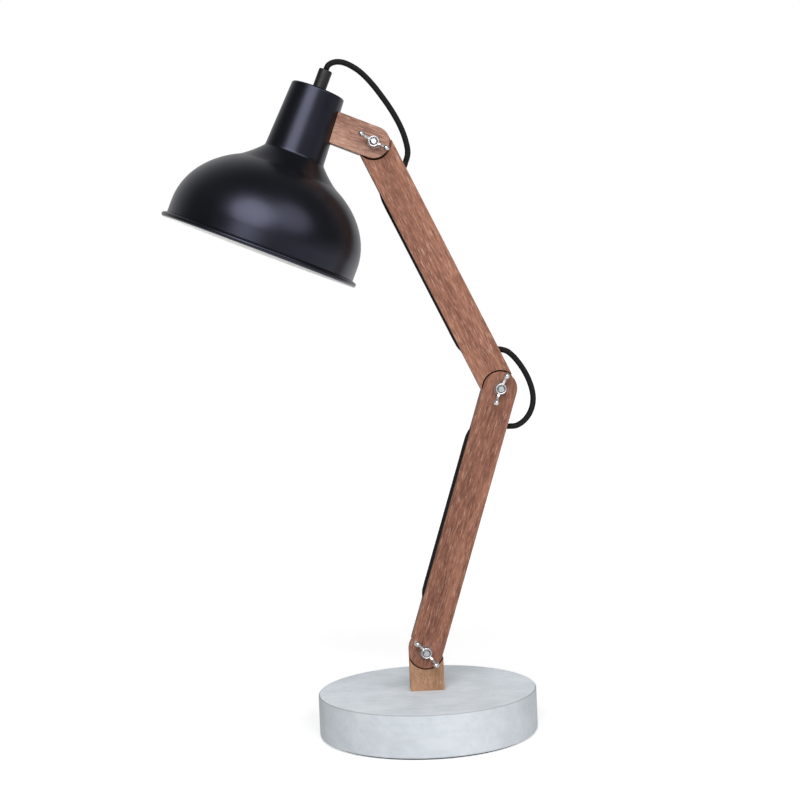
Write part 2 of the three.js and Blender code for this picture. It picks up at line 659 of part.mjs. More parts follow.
for (const [half, isUpper] of [['lower', false], ['upper', true]]) {
  const shell = addPart(lamp, `switch_${half}_shell`, switchShell(isUpper), 'blackPlastic');
  shell.position.set(inlineSwitch.x, inlineSwitch.y, 0);
}
const key = addPart(lamp, 'switch_rocker', rockerKey(), 'blackPlastic');
key.position.set(inlineSwitch.x, inlineSwitch.y, rocker.pivotZ);

function plugBody() {
  const { length, width, height, corner, relief, reliefWide, reliefNarrow } = plug;
  const end = length / 2 - 0.5;
  const block = roundedSlab(length, width, REST, height, corner);
  return join([block, reliefSleeve(end, relief, height / 2, reliefWide, reliefNarrow)]);
}

function plugPin() {
  const { pin, pinLength } = plug;
  const body = turned([[0, 0], [pin, 0], [pin, pinLength - 1], [pin - 1, pinLength], [0, pinLength]], 16);
  return body.rotateY(-Math.PI / 2);
}

addPart(lamp, 'plug_body', plugBody(), 'blackPlastic').position.set(plug.x, plug.y, 0);
for (const [name, side] of [['near', -1], ['far', 1]]) {
  const x = plug.x - plug.length / 2 - GAP;
  const pin = addPart(lamp, `plug_pin_${name}`, plugPin(), 'zinc');
  pin.position.set(x, plug.y + side * plug.pinSpread, plug.height / 2);
}

export default lamp;
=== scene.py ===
"""A jointed desk lamp: a concrete disc, wooden arms on wing nuts and a black spun-metal shade.

Metres, +Z up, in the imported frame. The origin is the centre of the underside, the lamp folds
in the XZ plane, the shade reaches toward -X and the wing nuts face -Y.
"""

import json
import math

import bmesh
import bpy
from mathutils import Matrix, Vector


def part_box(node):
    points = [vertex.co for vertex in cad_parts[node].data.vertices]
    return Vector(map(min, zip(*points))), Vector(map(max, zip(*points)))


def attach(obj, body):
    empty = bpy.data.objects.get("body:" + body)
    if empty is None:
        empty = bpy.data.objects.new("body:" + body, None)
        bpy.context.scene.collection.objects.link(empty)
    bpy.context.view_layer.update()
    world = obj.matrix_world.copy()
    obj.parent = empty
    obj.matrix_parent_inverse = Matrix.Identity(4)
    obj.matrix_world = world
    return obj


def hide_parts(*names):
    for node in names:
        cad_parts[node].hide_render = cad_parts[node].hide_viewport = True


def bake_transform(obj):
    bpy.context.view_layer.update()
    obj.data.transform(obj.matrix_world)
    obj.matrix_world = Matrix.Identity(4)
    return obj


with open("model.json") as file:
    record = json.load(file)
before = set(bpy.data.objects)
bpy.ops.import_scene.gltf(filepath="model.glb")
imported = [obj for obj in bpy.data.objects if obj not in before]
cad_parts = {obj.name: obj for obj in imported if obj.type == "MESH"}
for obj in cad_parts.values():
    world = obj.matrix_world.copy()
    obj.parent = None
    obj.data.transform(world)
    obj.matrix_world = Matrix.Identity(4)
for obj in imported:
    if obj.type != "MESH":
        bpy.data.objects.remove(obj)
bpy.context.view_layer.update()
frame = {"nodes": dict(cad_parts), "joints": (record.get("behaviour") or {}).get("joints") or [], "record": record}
MM = 0.001

# ---- driving values, which repeat the CAD's sizes ---------------------------------------------
PIVOT = {joint["name"]: Vector(joint["pos_m"]) for joint in frame["joints"]}
LINK_LEAN = -67  # degrees from vertical toward +X
ARM_WIDTH, ARM_THICK, LINK_WIDTH, LINK_LENGTH = 0.0325, 0.020, 0.030, 0.0657
LAP_GAP, SHOULDER, HEAD_SHOULDER = 0.0014, 0.0177, 0.0172
WOOD_EDGE = 0.0006
BOLT_RADIUS, BOLT_HEAD, BOLT_HEAD_RISE, BOLT_REACH = 0.003, 0.008, 0.0034, 0.0205
BOLT_NECK, NECK_DEPTH = 0.0062, 0.003
WASHER_RADIUS, WASHER_THICK, GAP = 0.0064, 0.0014, 0.0003
NUT_HUB, NUT_HUB_TOP, NUT_HEIGHT, NUT_WING, NUT_TIP = 0.0062, 0.005, 0.007, 0.0024, (0.0134, 0.0108)
NUT_TURN = {"base": -51, "elbow": 66, "head": -32}  # direction of the wings in the XZ plane
BASE_RADIUS, BASE_TOP = 0.105, 0.042
PIVOT_HEIGHT = 0.1324  # the head pivot above the rim plane, along the shade's axis
SHEET, RIM_RADIUS, BEAD, WALL, WALL_TOP = 0.001, 0.0976, 0.0023, 0.0933, 0.015
DOME_RISE, DOME_END = 0.074, 58  # the dome is an ellipse up to an angle in degrees
NECK_FOOT, NECK_TOP = (0.0294, 0.095), (0.0261, 0.1604)  # radius and height
NECK_FOOT_ROUND, NECK_TOP_CORNER = 0.0035, 0.002
NIPPLE_RADIUS = 0.005
GRIP = {"radius": 0.0065, "bottom": 0.1625, "top": 0.1805, "ring": 0.0071}
HOLDER = {"radius": 0.0205, "bore": 0.0142, "bottom": 0.096, "seam": 0.138, "top": 0.1552}
BULB = {
    "cap_radius": 0.0131, "cap_bottom": 0.1045, "cap_top": 0.130, "radius": 0.030, "centre": 0.051,
    "wall": 0.001, "neck_pulls": ((0.021, 0.075), (0.0151, 0.0865)),
}
SWITCH = {
    "centre": (-0.038, 0.122), "length": 0.056, "width": 0.026, "height": 0.017, "corner": 0.009,
    "seam": 0.0085, "relief": 0.007,
}
ROCKER = {"length": 0.019, "width": 0.011, "rise": 0.0026, "dip": 0.0016, "tilt": 7, "pivot": 0.015}
PLUG = {
    "centre": (-0.030, 0.1975), "length": 0.036, "width": 0.025, "height": 0.0138, "corner": 0.005,
    "relief": 0.018, "pin": 0.002, "pin_length": 0.019, "spread": 0.0093,
}
CORD_RADIUS, CHANNEL_RADIUS, CORD_OVERLAP = 0.00275, 0.00335, 0.0012
COIL_CENTRE, COIL_RADIUS, COIL_PITCH, COIL_LOW = (0.048, 0.154), 0.0325, 0.0056, 0.0040
COIL_TURNS = 6.5
TIE_WIDTH, TIE_THICK, TIE_TURN = 0.012, 0.0008, 10

# How brightly the white studio lights the lamp, against 1 as the camera sees it: the surround,
# and what the white sweep behind the lamp and the white floor below it add to that.
SURROUND, SWEEP, FLOOR_GLOW = 0.12, 0.6, 0.9
LIGHTS = {
    "key": (-8, 31, 48, 2.6),
    "fill": (42, 27, 42, 0.85),
}  # azimuth, height and width in degrees, and strength

CAMERA = {
    "distance": 1.5881, "azimuth": 2.598, "height": 0.4121, "lens": 74.85,
    "heading": 2.0716, "pitch": 3.2515, "roll": 2.4136,
}  # metres, millimetres and degrees


def lean_between(low, high):
    return math.atan2(high.x - low.x, high.z - low.z)


def leaning(pivot, angle):
    """A frame at a pivot whose +Z leans by an angle toward +X."""
    return Matrix.Translation(pivot) @ Matrix.Rotation(angle, 4, "Y")


base_pivot, elbow_pivot, head_pivot = (PIVOT[f"{name}_pivot"] for name in ("base", "elbow", "head"))
lower_frame = leaning(base_pivot, lean_between(base_pivot, elbow_pivot))
upper_frame = leaning(elbow_pivot, lean_between(elbow_pivot, head_pivot))
link_frame = leaning(head_pivot, math.radians(LINK_LEAN))
rim_centre = Matrix.Translation((-PIVOT_HEIGHT, 0, LINK_LENGTH))
shade_frame = link_frame @ rim_centre @ Matrix.Rotation(math.pi / 2, 4, "Y")
arm_length = (elbow_pivot - base_pivot).length


# ---- mesh helpers -----------------------------------------------------------------------------
def new_object(name, vertices, faces):
    mesh = bpy.data.meshes.new(name)
    mesh.from_pydata([tuple(v) for v in vertices], [], faces)
    mesh.update()
    obj = bpy.data.objects.new(name, mesh)
    bpy.context.scene.collection.objects.link(obj)
    return obj


def lathe(name, outline, segments=96):
    """Turns (radius, height) points about Z: a closed outline, or one that runs axis to axis."""
    vertices, rings = [], []
    for radius, height in outline:
        start = len(vertices)
        if radius < 1e-7:
            vertices.append((0, 0, height))
            rings.append([start] * segments)
            continue
        rings.append(list(range(start, start + segments)))
        for i in range(segments):
            angle = 2 * math.pi * i / segments
            vertices.append((radius * math.cos(angle), radius * math.sin(angle), height))
    pairs = list(zip(rings, rings[1:]))
    if outline[0][0] >= 1e-7:
        pairs.append((rings[-1], rings[0]))
    faces = []
    for low, high in pairs:
        for i in range(segments):
            j = (i + 1) % segments
            corners = dict.fromkeys((low[i], low[j], high[j], high[i]))
            if len(corners) > 2:
                faces.append(list(corners))
    return new_object(name, vertices, faces)


def arc(centre, radius, start, end, steps):
    """Points of an arc, both ends included, angles in degrees."""
    angles = (math.radians(start + (end - start) * i / steps) for i in range(steps + 1))
    return [(centre[0] + radius * math.cos(a), centre[1] + radius * math.sin(a)) for a in angles]


def bezier(start, first_pull, second_pull, end, steps):
    """Points of a cubic curve after its start, the end included."""
    points = []
    for i in range(1, steps + 1):
        t = i / steps
        s = 1 - t
        weights = (s ** 3, 3 * s * s * t, 3 * s * t * t, t ** 3)
        points.append(tuple(
            sum(w * p[axis] for w, p in zip(weights, (start, first_pull, second_pull, end)))
            for axis in range(2)
        ))
    return points


def prism(name, outline, low, high):
    """A slab from y = low to high whose (x, z) outline runs anticlockwise seen from the front."""
    count = len(outline)
    vertices = [(x, low, z) for x, z in outline] + [(x, high, z) for x, z in outline]
    faces = [list(range(count)), list(range(2 * count - 1, count - 1, -1))]
    for i in range(count):
        j = (i + 1) % count
        faces.append([i, i + count, j + count, j])
    return new_object(name, vertices, faces)


def transform(obj, matrix):
    obj.data.transform(matrix)
    obj.data.update()
    return obj


def along_front(obj):
    """Lays a shape made on axis Z along Y, its +Z end toward the front."""
    return transform(obj, Matrix.Rotation(math.pi / 2, 4, "X"))


def disc_y(name, radius, low, high, z=0.0, segments=64):
    """A cylinder along Y from low to high, centred at height z."""
    obj = along_front(lathe(name, [(0, -high), (radius, -high), (radius, -low), (0, -low)], segments))
    return transform(obj, Matrix.Translation((0, 0, z)))


def apply_modifiers(obj):
    evaluated = obj.evaluated_get(bpy.context.evaluated_depsgraph_get())
    mesh = bpy.data.meshes.new_from_object(evaluated)
    obj.modifiers.clear()
    obj.data = mesh
    return obj


def combine(obj, tools, operation="DIFFERENCE"):
    for tool in tools:
        modifier = obj.modifiers.new("combine", "BOOLEAN")
        modifier.operation = operation
        modifier.solver = "EXACT"
        modifier.object = tool
    apply_modifiers(obj)
    for tool in tools:
        bpy.data.objects.remove(tool)
    return obj


def bevel(obj, width, segments=3, angle=40):
    modifier = obj.modifiers.new("bevel", "BEVEL")
    modifier.width = width
    modifier.segments = segments
    modifier.limit_method = "ANGLE"
    modifier.angle_limit = math.radians(angle)
    return apply_modifiers(obj)


def smooth(obj, angle=35):
    """Smooth shading, with edges steeper than the angle kept sharp and flat faces kept flat."""
    obj.data.shade_smooth()
    obj.data.set_sharp_from_angle(angle=math.radians(angle))
    modifier = obj.modifiers.new("normals", "WEIGHTED_NORMAL")
    modifier.keep_sharp = True
    return obj


def melt(obj, voxel, rounds):
    """Fuses overlapping closed shapes into one skin with soft inner corners."""
    remesh = obj.modifiers.new("fuse", "REMESH")
    remesh.mode = "VOXEL"
    remesh.voxel_size = voxel
    soften = obj.modifiers.new("soften", "SMOOTH")
    soften.iterations = rounds
    return apply_modifiers(obj)


def merge(obj, others):
    """Adds the meshes of other objects to one object, all in the same frame."""
    joined = bmesh.new()
    for piece in (obj, *others):
        joined.from_mesh(piece.data)
    joined.to_mesh(obj.data)
    joined.free()
    for other in others:
        bpy.data.objects.remove(other)
    return obj


# ---- cord helpers -----------------------------------------------------------------------------
def smooth_route(points, spacing):
    """A centripetal Catmull-Rom curve through given points, sampled about evenly."""
    points = [Vector(p) for p in points]
    ends = [2 * points[0] - points[1], *points, 2 * points[-1] - points[-2]]
    route = [points[0]]
    for p0, p1, p2, p3 in zip(ends, ends[1:], ends[2:], ends[3:]):
        t0 = 0.0
        t1 = t0 + math.sqrt((p1 - p0).length)
        t2 = t1 + math.sqrt((p2 - p1).length)
        t3 = t2 + math.sqrt((p3 - p2).length)
        steps = max(2, round((p2 - p1).length / spacing))
        for i in range(1, steps + 1):
            t = t1 + (t2 - t1) * i / steps
            a1 = p0.lerp(p1, (t - t0) / (t1 - t0))
            a2 = p1.lerp(p2, (t - t1) / (t2 - t1))
            a3 = p2.lerp(p3, (t - t2) / (t3 - t2))
            b1 = a1.lerp(a2, (t - t0) / (t2 - t0))
            b2 = a2.lerp(a3, (t - t1) / (t3 - t1))
            route.append(b1.lerp(b2, (t - t1) / (t2 - t1)))
    return route


def tube(name, route, radius, sides=16):
    """A capped round tube along a route, with its UV in metres along it and turns around it."""
    tangents = [
        (route[min(i + 1, len(route) - 1)] - route[max(i - 1, 0)]).normalized() for i in range(len(route))
    ]
    across = tangents[0].orthogonal().normalized()
    vertices = []
    distance = [0.0]
    for i, (point, tangent) in enumerate(zip(route, tangents)):
        across = (across - across.dot(tangent) * tangent).normalized()
        other = tangent.cross(across)
        for k in range(sides):
            angle = 2 * math.pi * k / sides
            vertices.append(point + radius * (math.cos(angle) * across + math.sin(angle) * other))
        if i:
            distance.append(distance[-1] + (point - route[i - 1]).length)
    faces, corners = [], []
    for i in range(len(route) - 1):
        for k in range(sides):
            j = (k + 1) % sides
            faces.append([i * sides + k, i * sides + j, (i + 1) * sides + j, (i + 1) * sides + k])
            near, far = k / sides, (k + 1) / sides
            corners += [
                (distance[i], near), (distance[i], far), (distance[i + 1], far), (distance[i + 1], near),
            ]
    last = (len(route) - 1) * sides
    faces.append(list(range(sides - 1, -1, -1)))
    faces.append(list(range(last, last + sides)))
    corners += [(0.0, 0.0)] * (2 * sides)
    obj = new_object(name, vertices, faces)
    layer = obj.data.uv_layers.new(name="cord")
    for loop, uv in zip(layer.data, corners):
        loop.uv = uv
    obj.data.shade_smooth()
    return obj


# ---- camera -----------------------------------------------------------------------------------
def add_camera():
    view = CAMERA
    azimuth = math.radians(view["azimuth"])
    place = Vector((-math.sin(azimuth), -math.cos(azimuth), 0)) * view["distance"]
    place.z = view["height"]
    data = bpy.data.cameras.new("camera")
    data.sensor_width = 36
    data.lens = view["lens"]
    camera = bpy.data.objects.new("camera", data)
    camera.matrix_world = (
        Matrix.Translation(place)
        @ Matrix.Rotation(-math.radians(view["heading"]), 4, "Z")
        @ Matrix.Rotation(math.radians(90 - view["pitch"]), 4, "X")
        @ Matrix.Rotation(-math.radians(view["roll"]), 4, "Z")
    )
    bpy.context.scene.collection.objects.link(camera)
    bpy.context.scene.camera = camera


add_camera()


# ---- node helpers -----------------------------------------------------------------------------
class Nodes:
    """The node tree of a material or a world, with short calls to add and join nodes."""

    def __init__(self, name, kind="materials", shader="Principled BSDF"):
        self.material = getattr(bpy.data, kind).new(name)
        self.material.use_nodes = True
        self.tree = self.material.node_tree
        self.shader = self.tree.nodes[shader]

    def add(self, kind, inputs=None, **settings):
        node = self.tree.nodes.new("ShaderNode" + kind)
        for key, value in settings.items():
            setattr(node, key, value)
        for key, value in (inputs or {}).items():
            self.put(node, key, value)
        return node

    def put(self, node, key, value):
        """Sets an input to a number or colour, or links it to another node's output."""
        if isinstance(value, bpy.types.NodeSocket):
            self.tree.links.new(value, node.inputs[key])
        else:
            node.inputs[key].default_value = value

    def coordinates(self, scale=(1, 1, 1), kind="Object"):
        source = self.add("TexCoord").outputs[kind]
        return self.add("Mapping", {"Vector": source, "Scale": scale}).outputs["Vector"]

    def noise(self, vector, scale, detail=4.0, roughness=0.55, distortion=0.0):
        node = self.add("TexNoise", {
            "Vector": vector, "Scale": scale, "Detail": detail, "Roughness": roughness,
            "Distortion": distortion,
        })
        return node.outputs["Fac"]

    def ramp(self, value, *stops):
        """Maps a value to a colour between (position, colour) stops."""
        node = self.add("ValToRGB", {"Fac": value})
        elements = node.color_ramp.elements
        while len(elements) < len(stops):
            elements.new(0.5)
        for element, (position, colour) in zip(elements, stops):
            element.position = position
            element.color = (*colour, 1) if len(colour) == 3 else colour
        return node.outputs["Color"]

    def scaled(self, value, low, high, to_low, to_high):
        node = self.add("MapRange", {
            "Value": value, "From Min": low, "From Max": high, "To Min": to_low, "To Max": to_high,
        })
        return node.outputs["Result"]

    def math(self, operation, a, b=0.0):
        node = self.add("Math", operation=operation)
        self.put(node, 0, a)
        self.put(node, 1, b)
        return node.outputs["Value"]

    def mix(self, factor, a, b, blend="MIX"):
        node = self.add("Mix", data_type="RGBA", blend_type=blend)
        self.put(node, 0, factor)
        self.put(node, 6, a if isinstance(a, bpy.types.NodeSocket) else (*a, 1))
        self.put(node, 7, b if isinstance(b, bpy.types.NodeSocket) else (*b, 1))
        return node.outputs[2]

    def bump(self, height, strength, distance, normal=None):
        node = self.add("Bump", {"Height": height, "Strength": strength, "Distance": distance})
        if normal is not None:
            self.put(node, "Normal", normal)
        return node.outputs["Normal"]

    def finish(self, **inputs):
        """Sets the shader's own inputs, named with underscores for spaces."""
        for key, value in inputs.items():
            self.put(self.shader, key.replace("_", " "), value)
        return self.material


# ---- materials --------------------------------------------------------------------------------
def wood(name, dark, middle, light, fleck, seed, arched=0.0):
    """Wood along local Z: broad figure, fine uneven streaks, pores and pale flecks, and the arches
    of a flat-sawn face where they show."""
    nodes = Nodes(name)

    def grain(scale, stretch, detail, roughness, distortion=0.0):
        place = nodes.coordinates((1, 1, stretch))
        moved = nodes.add("Mapping", {"Vector": place, "Location": (seed, seed, seed)}).outputs["Vector"]
        return nodes.noise(moved, scale, detail, roughness, distortion)

    figure = grain(34, 0.16, 5, 0.6, 1.2)
    streaks = grain(500, 0.14, 4, 0.75, 0.4)
    fibres = grain(1500, 0.06, 3, 0.75)
    tone = nodes.math("ADD", nodes.math("MULTIPLY", figure, 0.4), nodes.math("MULTIPLY", streaks, 0.6))
    ground = nodes.ramp(tone, (0.39, dark), (0.5, middle), (0.61, light))
    place = nodes.add("SeparateXYZ", {"Vector": nodes.coordinates()})
    bow = nodes.math("MULTIPLY", nodes.math("POWER", place.outputs["X"], 2.0), 60)
    rise = nodes.math("SUBTRACT", place.outputs["Z"], nodes.math("ADD", bow, nodes.math("MULTIPLY", figure, 0.006)))
    rings = nodes.math("SINE", nodes.math("MULTIPLY", rise, 2 * math.pi / 0.0045))
    ringed = nodes.mix(nodes.scaled(rings, 0.2, 1.0, 0.0, arched), ground, dark)
    fibred = nodes.mix(nodes.scaled(fibres, 0.36, 0.64, 0.0, 0.35), ringed, dark)
    pores = nodes.scaled(grain(1000, 0.12, 2, 0.5), 0.58, 0.72, 0.0, 0.6)
    flecks = nodes.scaled(grain(900, 0.10, 2, 0.5), 0.56, 0.70, 0.0, 0.5)
    flecked = nodes.mix(flecks, fibred, fleck)
    height = nodes.math("SUBTRACT", nodes.math("MULTIPLY", fibres, 0.5), pores)
    return nodes.finish(
        Base_Color=nodes.mix(pores, flecked, [0.6 * channel for channel in dark]),
        Roughness=nodes.scaled(streaks, 0.3, 0.7, 0.5, 0.72),
        Normal=nodes.bump(height, 0.4, 0.0002),
        Specular_IOR_Level=0.3,
    )


def concrete(radius, top):
    """Cast concrete: pale clouds, trowel streaks along X, grit and pores, and painted shade on the sides, in the
    pores and along the top edge.
    """
    nodes = Nodes("cast_concrete")
    place = nodes.coordinates()
    clouds = nodes.noise(place, 24, detail=5, roughness=0.65)
    trowelled = nodes.noise(nodes.coordinates((0.12, 1, 1)), 260, detail=3, roughness=0.7)
    grit = nodes.noise(place, 700, detail=3, roughness=0.8)
    patches = nodes.math(
        "ADD", nodes.math("MULTIPLY", clouds, 0.7), nodes.math("MULTIPLY", trowelled, 0.3),
    )
    dark, middle, light = (0.69, 0.74, 0.79), (0.765, 0.82, 0.875), (0.845, 0.89, 0.935)
    cast = nodes.ramp(patches, (0.38, dark), (0.5, middle), (0.62, light))
    across = nodes.add("SeparateXYZ", {"Vector": place})
    # Painted shade: below the top face the colour is multiplied by 0.69, so the top reads paler than the sides.
    side = nodes.scaled(across.outputs["Z"], top, top - 0.0004, 0.0, 1.0)
    ground = nodes.mix(side, cast, (0.69, 0.69, 0.69), "MULTIPLY")
    gritty = nodes.mix(nodes.scaled(grit, 0.40, 0.65, 0.0, 0.12), ground, (0.40, 0.42, 0.43))
    cells = nodes.add("TexVoronoi", {"Vector": place, "Scale": 170, "Randomness": 1.0}).outputs["Distance"]
    chance = nodes.noise(place, 60, detail=1)
    holes = nodes.scaled(cells, 0.13, 0.07, 0.0, 1.0)
    pores = nodes.math("MULTIPLY", holes, nodes.scaled(chance, 0.52, 0.62, 0.0, 1.0))
    # Painted shade: the pores are coloured dark in place of the shade inside the pits.
    pitted = nodes.mix(nodes.math("MULTIPLY", pores, 0.55), gritty, (0.25, 0.27, 0.29))
    # Painted shade: a darker band along the top edge, painted over the highlight of its rounded arris.
    outward = nodes.add("VectorMath", {"Vector": nodes.coordinates((1, 1, 0))}, operation="LENGTH")
    edge_shade = nodes.math(
        "MULTIPLY", nodes.scaled(outward.outputs["Value"], radius - 0.0014, radius - 0.0006, 0.0, 0.65),
        nodes.scaled(across.outputs["Z"], top - 0.0014, top - 0.0006, 0.0, 1.0),
    )
    colour = nodes.mix(edge_shade, pitted, (0.30, 0.30, 0.29))
    height = nodes.math("SUBTRACT", nodes.math("MULTIPLY", grit, 0.3), pores)
    return nodes.finish(
        Base_Color=colour,
        Roughness=nodes.scaled(clouds, 0.3, 0.7, 0.82, 0.95),
        Normal=nodes.bump(height, 0.5, 0.0004),
        Specular_IOR_Level=0.3,
    )


def paint(name, colour, shifted, gloss, specular, tint=(1, 1, 1)):
    """Sprayed paint on metal: fine orange peel, faint dust and an uneven sheen."""
    nodes = Nodes(name)
    place = nodes.coordinates()
    peel = nodes.noise(place, 700, detail=2)
    handling = nodes.noise(place, 28, detail=4)
    return nodes.finish(
        Base_Color=nodes.mix(nodes.scaled(handling, 0.35, 0.7, 0.0, 1.0), colour, shifted),
        Roughness=nodes.scaled(handling, 0.3, 0.7, *gloss),
        Normal=nodes.bump(peel, 0.12, 0.00012),
        Specular_IOR_Level=specular,
        Specular_Tint=(*tint, 1),
    )


def plated(name, colour, dull, low, high):
    """Plated metal: cloudy brightness and fine scratches."""
    nodes = Nodes(name)
    place = nodes.coordinates()
    clouds = nodes.noise(place, 190, detail=4)
    scratches = nodes.noise(nodes.coordinates((1, 0.08, 1)), 2600, detail=2)
    return nodes.finish(
        Base_Color=nodes.mix(nodes.scaled(clouds, 0.4, 0.7, 0.0, 0.8), colour, dull),
        Metallic=1.0,
        Roughness=nodes.scaled(clouds, 0.3, 0.7, low, high),
        Normal=nodes.bump(scratches, 0.15, 0.00008),
    )


def moulded(name, colour, worn):
    """Moulded plastic with a fine spark-eroded texture."""
    nodes = Nodes(name)
    place = nodes.coordinates()
    texture = nodes.noise(place, 2200, detail=2)
    rubs = nodes.noise(place, 70, detail=5, roughness=0.65)
    return nodes.finish(
        Base_Color=nodes.mix(nodes.scaled(rubs, 0.45, 0.75, 0.0, 0.7), colour, worn),
        Roughness=nodes.scaled(rubs, 0.3, 0.7, 0.42, 0.58),
        Normal=nodes.bump(texture, 0.2, 0.00008),
    )


def braided():
    """A woven sleeve: two sets of yarns that cross round the cord, from the cord's own UV, with a painted highlight
    on the yarn crests.
    """
    nodes = Nodes("braided_sleeve")
    uv = nodes.add("SeparateXYZ", {"Vector": nodes.add("TexCoord").outputs["UV"]})
    along = nodes.math("MULTIPLY", uv.outputs["X"], 2 * math.pi / 0.0042)
    around = nodes.math("MULTIPLY", uv.outputs["Y"], 2 * math.pi * 6)
    right = nodes.math("SINE", nodes.math("ADD", along, around))
    left = nodes.math("SINE", nodes.math("SUBTRACT", along, around))
    yarns = nodes.math("MAXIMUM", right, left)
    fuzz = nodes.noise(nodes.coordinates(), 2400, detail=3, roughness=0.7)
    # Painted highlight: the yarn crests are coloured lighter, mixed with a random fuzz tone.
    yarn_highlight = nodes.math("MULTIPLY", nodes.scaled(yarns, -0.2, 1.0, 0.0, 1.0), fuzz)
    height = nodes.math("ADD", nodes.math("MULTIPLY", yarns, 0.8), nodes.math("MULTIPLY", fuzz, 0.4))
    return nodes.finish(
        Base_Color=nodes.ramp(yarn_highlight, (0.1, (0.0018, 0.0018, 0.002)), (0.7, (0.008, 0.008, 0.009))),
        Roughness=nodes.scaled(fuzz, 0.3, 0.7, 0.62, 0.85),
        Normal=nodes.bump(height, 0.6, 0.00025),
        Specular_IOR_Level=0.25,
    )


def fibrous(name, dark, light, scale, depth):
    """Pressed or looped fibres, for felt, washers and the strap."""
    nodes = Nodes(name)
    place = nodes.coordinates()
    tangle = nodes.noise(place, scale, detail=5, roughness=0.75, distortion=1.5)
    tufts = nodes.add("TexVoronoi", {"Vector": place, "Scale": scale * 0.6}).outputs["Distance"]
    height = nodes.math("ADD", tangle, nodes.math("MULTIPLY", tufts, 0.5))
    return nodes.finish(
        Base_Color=nodes.mix(nodes.scaled(tangle, 0.3, 0.7, 0.0, 1.0), dark, light),
        Roughness=nodes.scaled(tufts, 0.0, 0.6, 0.85, 1.0),
        Normal=nodes.bump(height, 0.7, depth),
    )


def opal_glass():
    nodes = Nodes("opal_glass")
    place = nodes.coordinates()
    coating = nodes.noise(place, 45, detail=5)
    grain = nodes.noise(place, 1500, detail=2)
    thickness = nodes.scaled(coating, 0.3, 0.7, 0.0, 1.0)
    return nodes.finish(
        Base_Color=nodes.mix(thickness, (0.84, 0.83, 0.79), (0.90, 0.895, 0.87)),
        Roughness=nodes.scaled(coating, 0.3, 0.7, 0.22, 0.32),
        Normal=nodes.bump(grain, 0.05, 0.00005),
        Coat_Weight=0.4,
        Subsurface_Weight=0.15,
    )


MATERIAL = {
    "oak": wood(
        "pale_oak", (0.25, 0.13, 0.070), (0.36, 0.195, 0.112), (0.46, 0.27, 0.165), (0.55, 0.36, 0.24), 3, 0.45,
    ),
    "brown_wood": wood(
        "brown_wood", (0.14, 0.052, 0.031), (0.295, 0.124, 0.078), (0.43, 0.205, 0.132), (0.62, 0.40, 0.30), 0,
    ),
    "dark_wood": wood(
        "dark_wood", (0.115, 0.043, 0.026), (0.245, 0.099, 0.062), (0.36, 0.162, 0.105), (0.54, 0.33, 0.24), 11,
    ),
    "link_wood": wood(
        "link_wood", (0.21, 0.096, 0.066), (0.41, 0.218, 0.160), (0.55, 0.32, 0.24), (0.68, 0.48, 0.38), 7,
    ),
    "concrete": concrete(BASE_RADIUS, BASE_TOP),
    "shade_black": paint(
        "black_paint", (0.0020, 0.0022, 0.0026), (0.0030, 0.0032, 0.0038), (0.29, 0.35), 0.60, (0.68, 0.71, 1),
    ),
    "shade_white": paint("white_lining", (0.86, 0.86, 0.85), (0.92, 0.92, 0.91), (0.32, 0.42), 0.5),
    "zinc": plated("bright_zinc", (0.78, 0.79, 0.80), (0.55, 0.56, 0.58), 0.22, 0.42),
    "bulb_metal": plated("nickel_cap", (0.74, 0.72, 0.66), (0.52, 0.50, 0.46), 0.22, 0.4),
    "pin_metal": plated("pin_metal", (0.80, 0.77, 0.70), (0.60, 0.57, 0.52), 0.2, 0.35),
    "black_plastic": moulded("black_plastic", (0.004, 0.004, 0.0045), (0.010, 0.010, 0.011)),
    "braid": braided(),
    "felt": fibrous("felt", (0.012, 0.012, 0.014), (0.035, 0.035, 0.038), 1400, 0.0006),
    "fibre": fibrous("red_fibre", (0.03, 0.016, 0.010), (0.07, 0.040, 0.028), 1800, 0.0002),
    "hook_and_loop": fibrous("hook_and_loop", (0.008, 0.008, 0.009), (0.03, 0.03, 0.032), 1600, 0.0005),
    "opal_glass": opal_glass(),
}


def add_piece(obj, body, slot, replaced=(), place=None):
    """Gives a finished piece its place, finish and body, and hides the CAD nodes that it stands for."""
    if place is not None:
        obj.matrix_world = place
    obj.data.materials.clear()
    obj.data.materials.append(MATERIAL[slot])
    if body:
        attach(obj, body)
    if replaced:
        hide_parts(*replaced)
    return obj


# ---- cord routes ------------------------------------------------------------------------------
def metres(points):
    return [[x * MM for x in point] for point in points]


def groove_run(x):
    """The stretch of the lead that lies in the groove down an arm's left edge."""
    return [
        [-4, 0, 223.2], [-12.3, 0, 219.2], [x + 0.6, 0, 212], [x, 0, 203], [x, 0, 190],
        [x, 0, 74], [x, 0, 61],
    ]


UPPER_CHANNEL = metres([
    [19.5, 0, 232.5], [14.5, 0, 227.8], [6, 0, 225.6], *groove_run(-15.7),
    [-15.1, 0, 52], [-12, 0, 45.5], [-4, 0, 41.5], [6, 0, 38.8], [12.6, 0, 36], [17.8, 0, 32.6],
])
LOWER_CHANNEL = metres([
    [18, 0, 229], [8, 0, 226.3], *groove_run(-16.4),
    [-15.8, 0.4, 53], [-12.6, 2.4, 46.4], [-8, 6.2, 42], [-4.8, 13, 39.2],
])
HEAD_LOOP = metres([
    [-71.2, 0, 637.2], [-69.4, 0, 640.7], [-66.2, 0, 642.9], [-60.8, 0, 644], [-54.5, 0, 643], [-47, 0, 639.4],
    [-40, 0, 634.4], [-33.5, 0, 628], [-26.6, 0, 619.7], [-20.6, 0, 611.3], [-14.6, 0, 602.3], [-9.1, 0, 593],
    [-4.4, 0, 583.6], [-0.7, 0, 574.2], [1.6, 0, 565.4], [2.6, 0, 558.8], [2.2, 0, 553.4], [0.6, 0, 548.7],
])
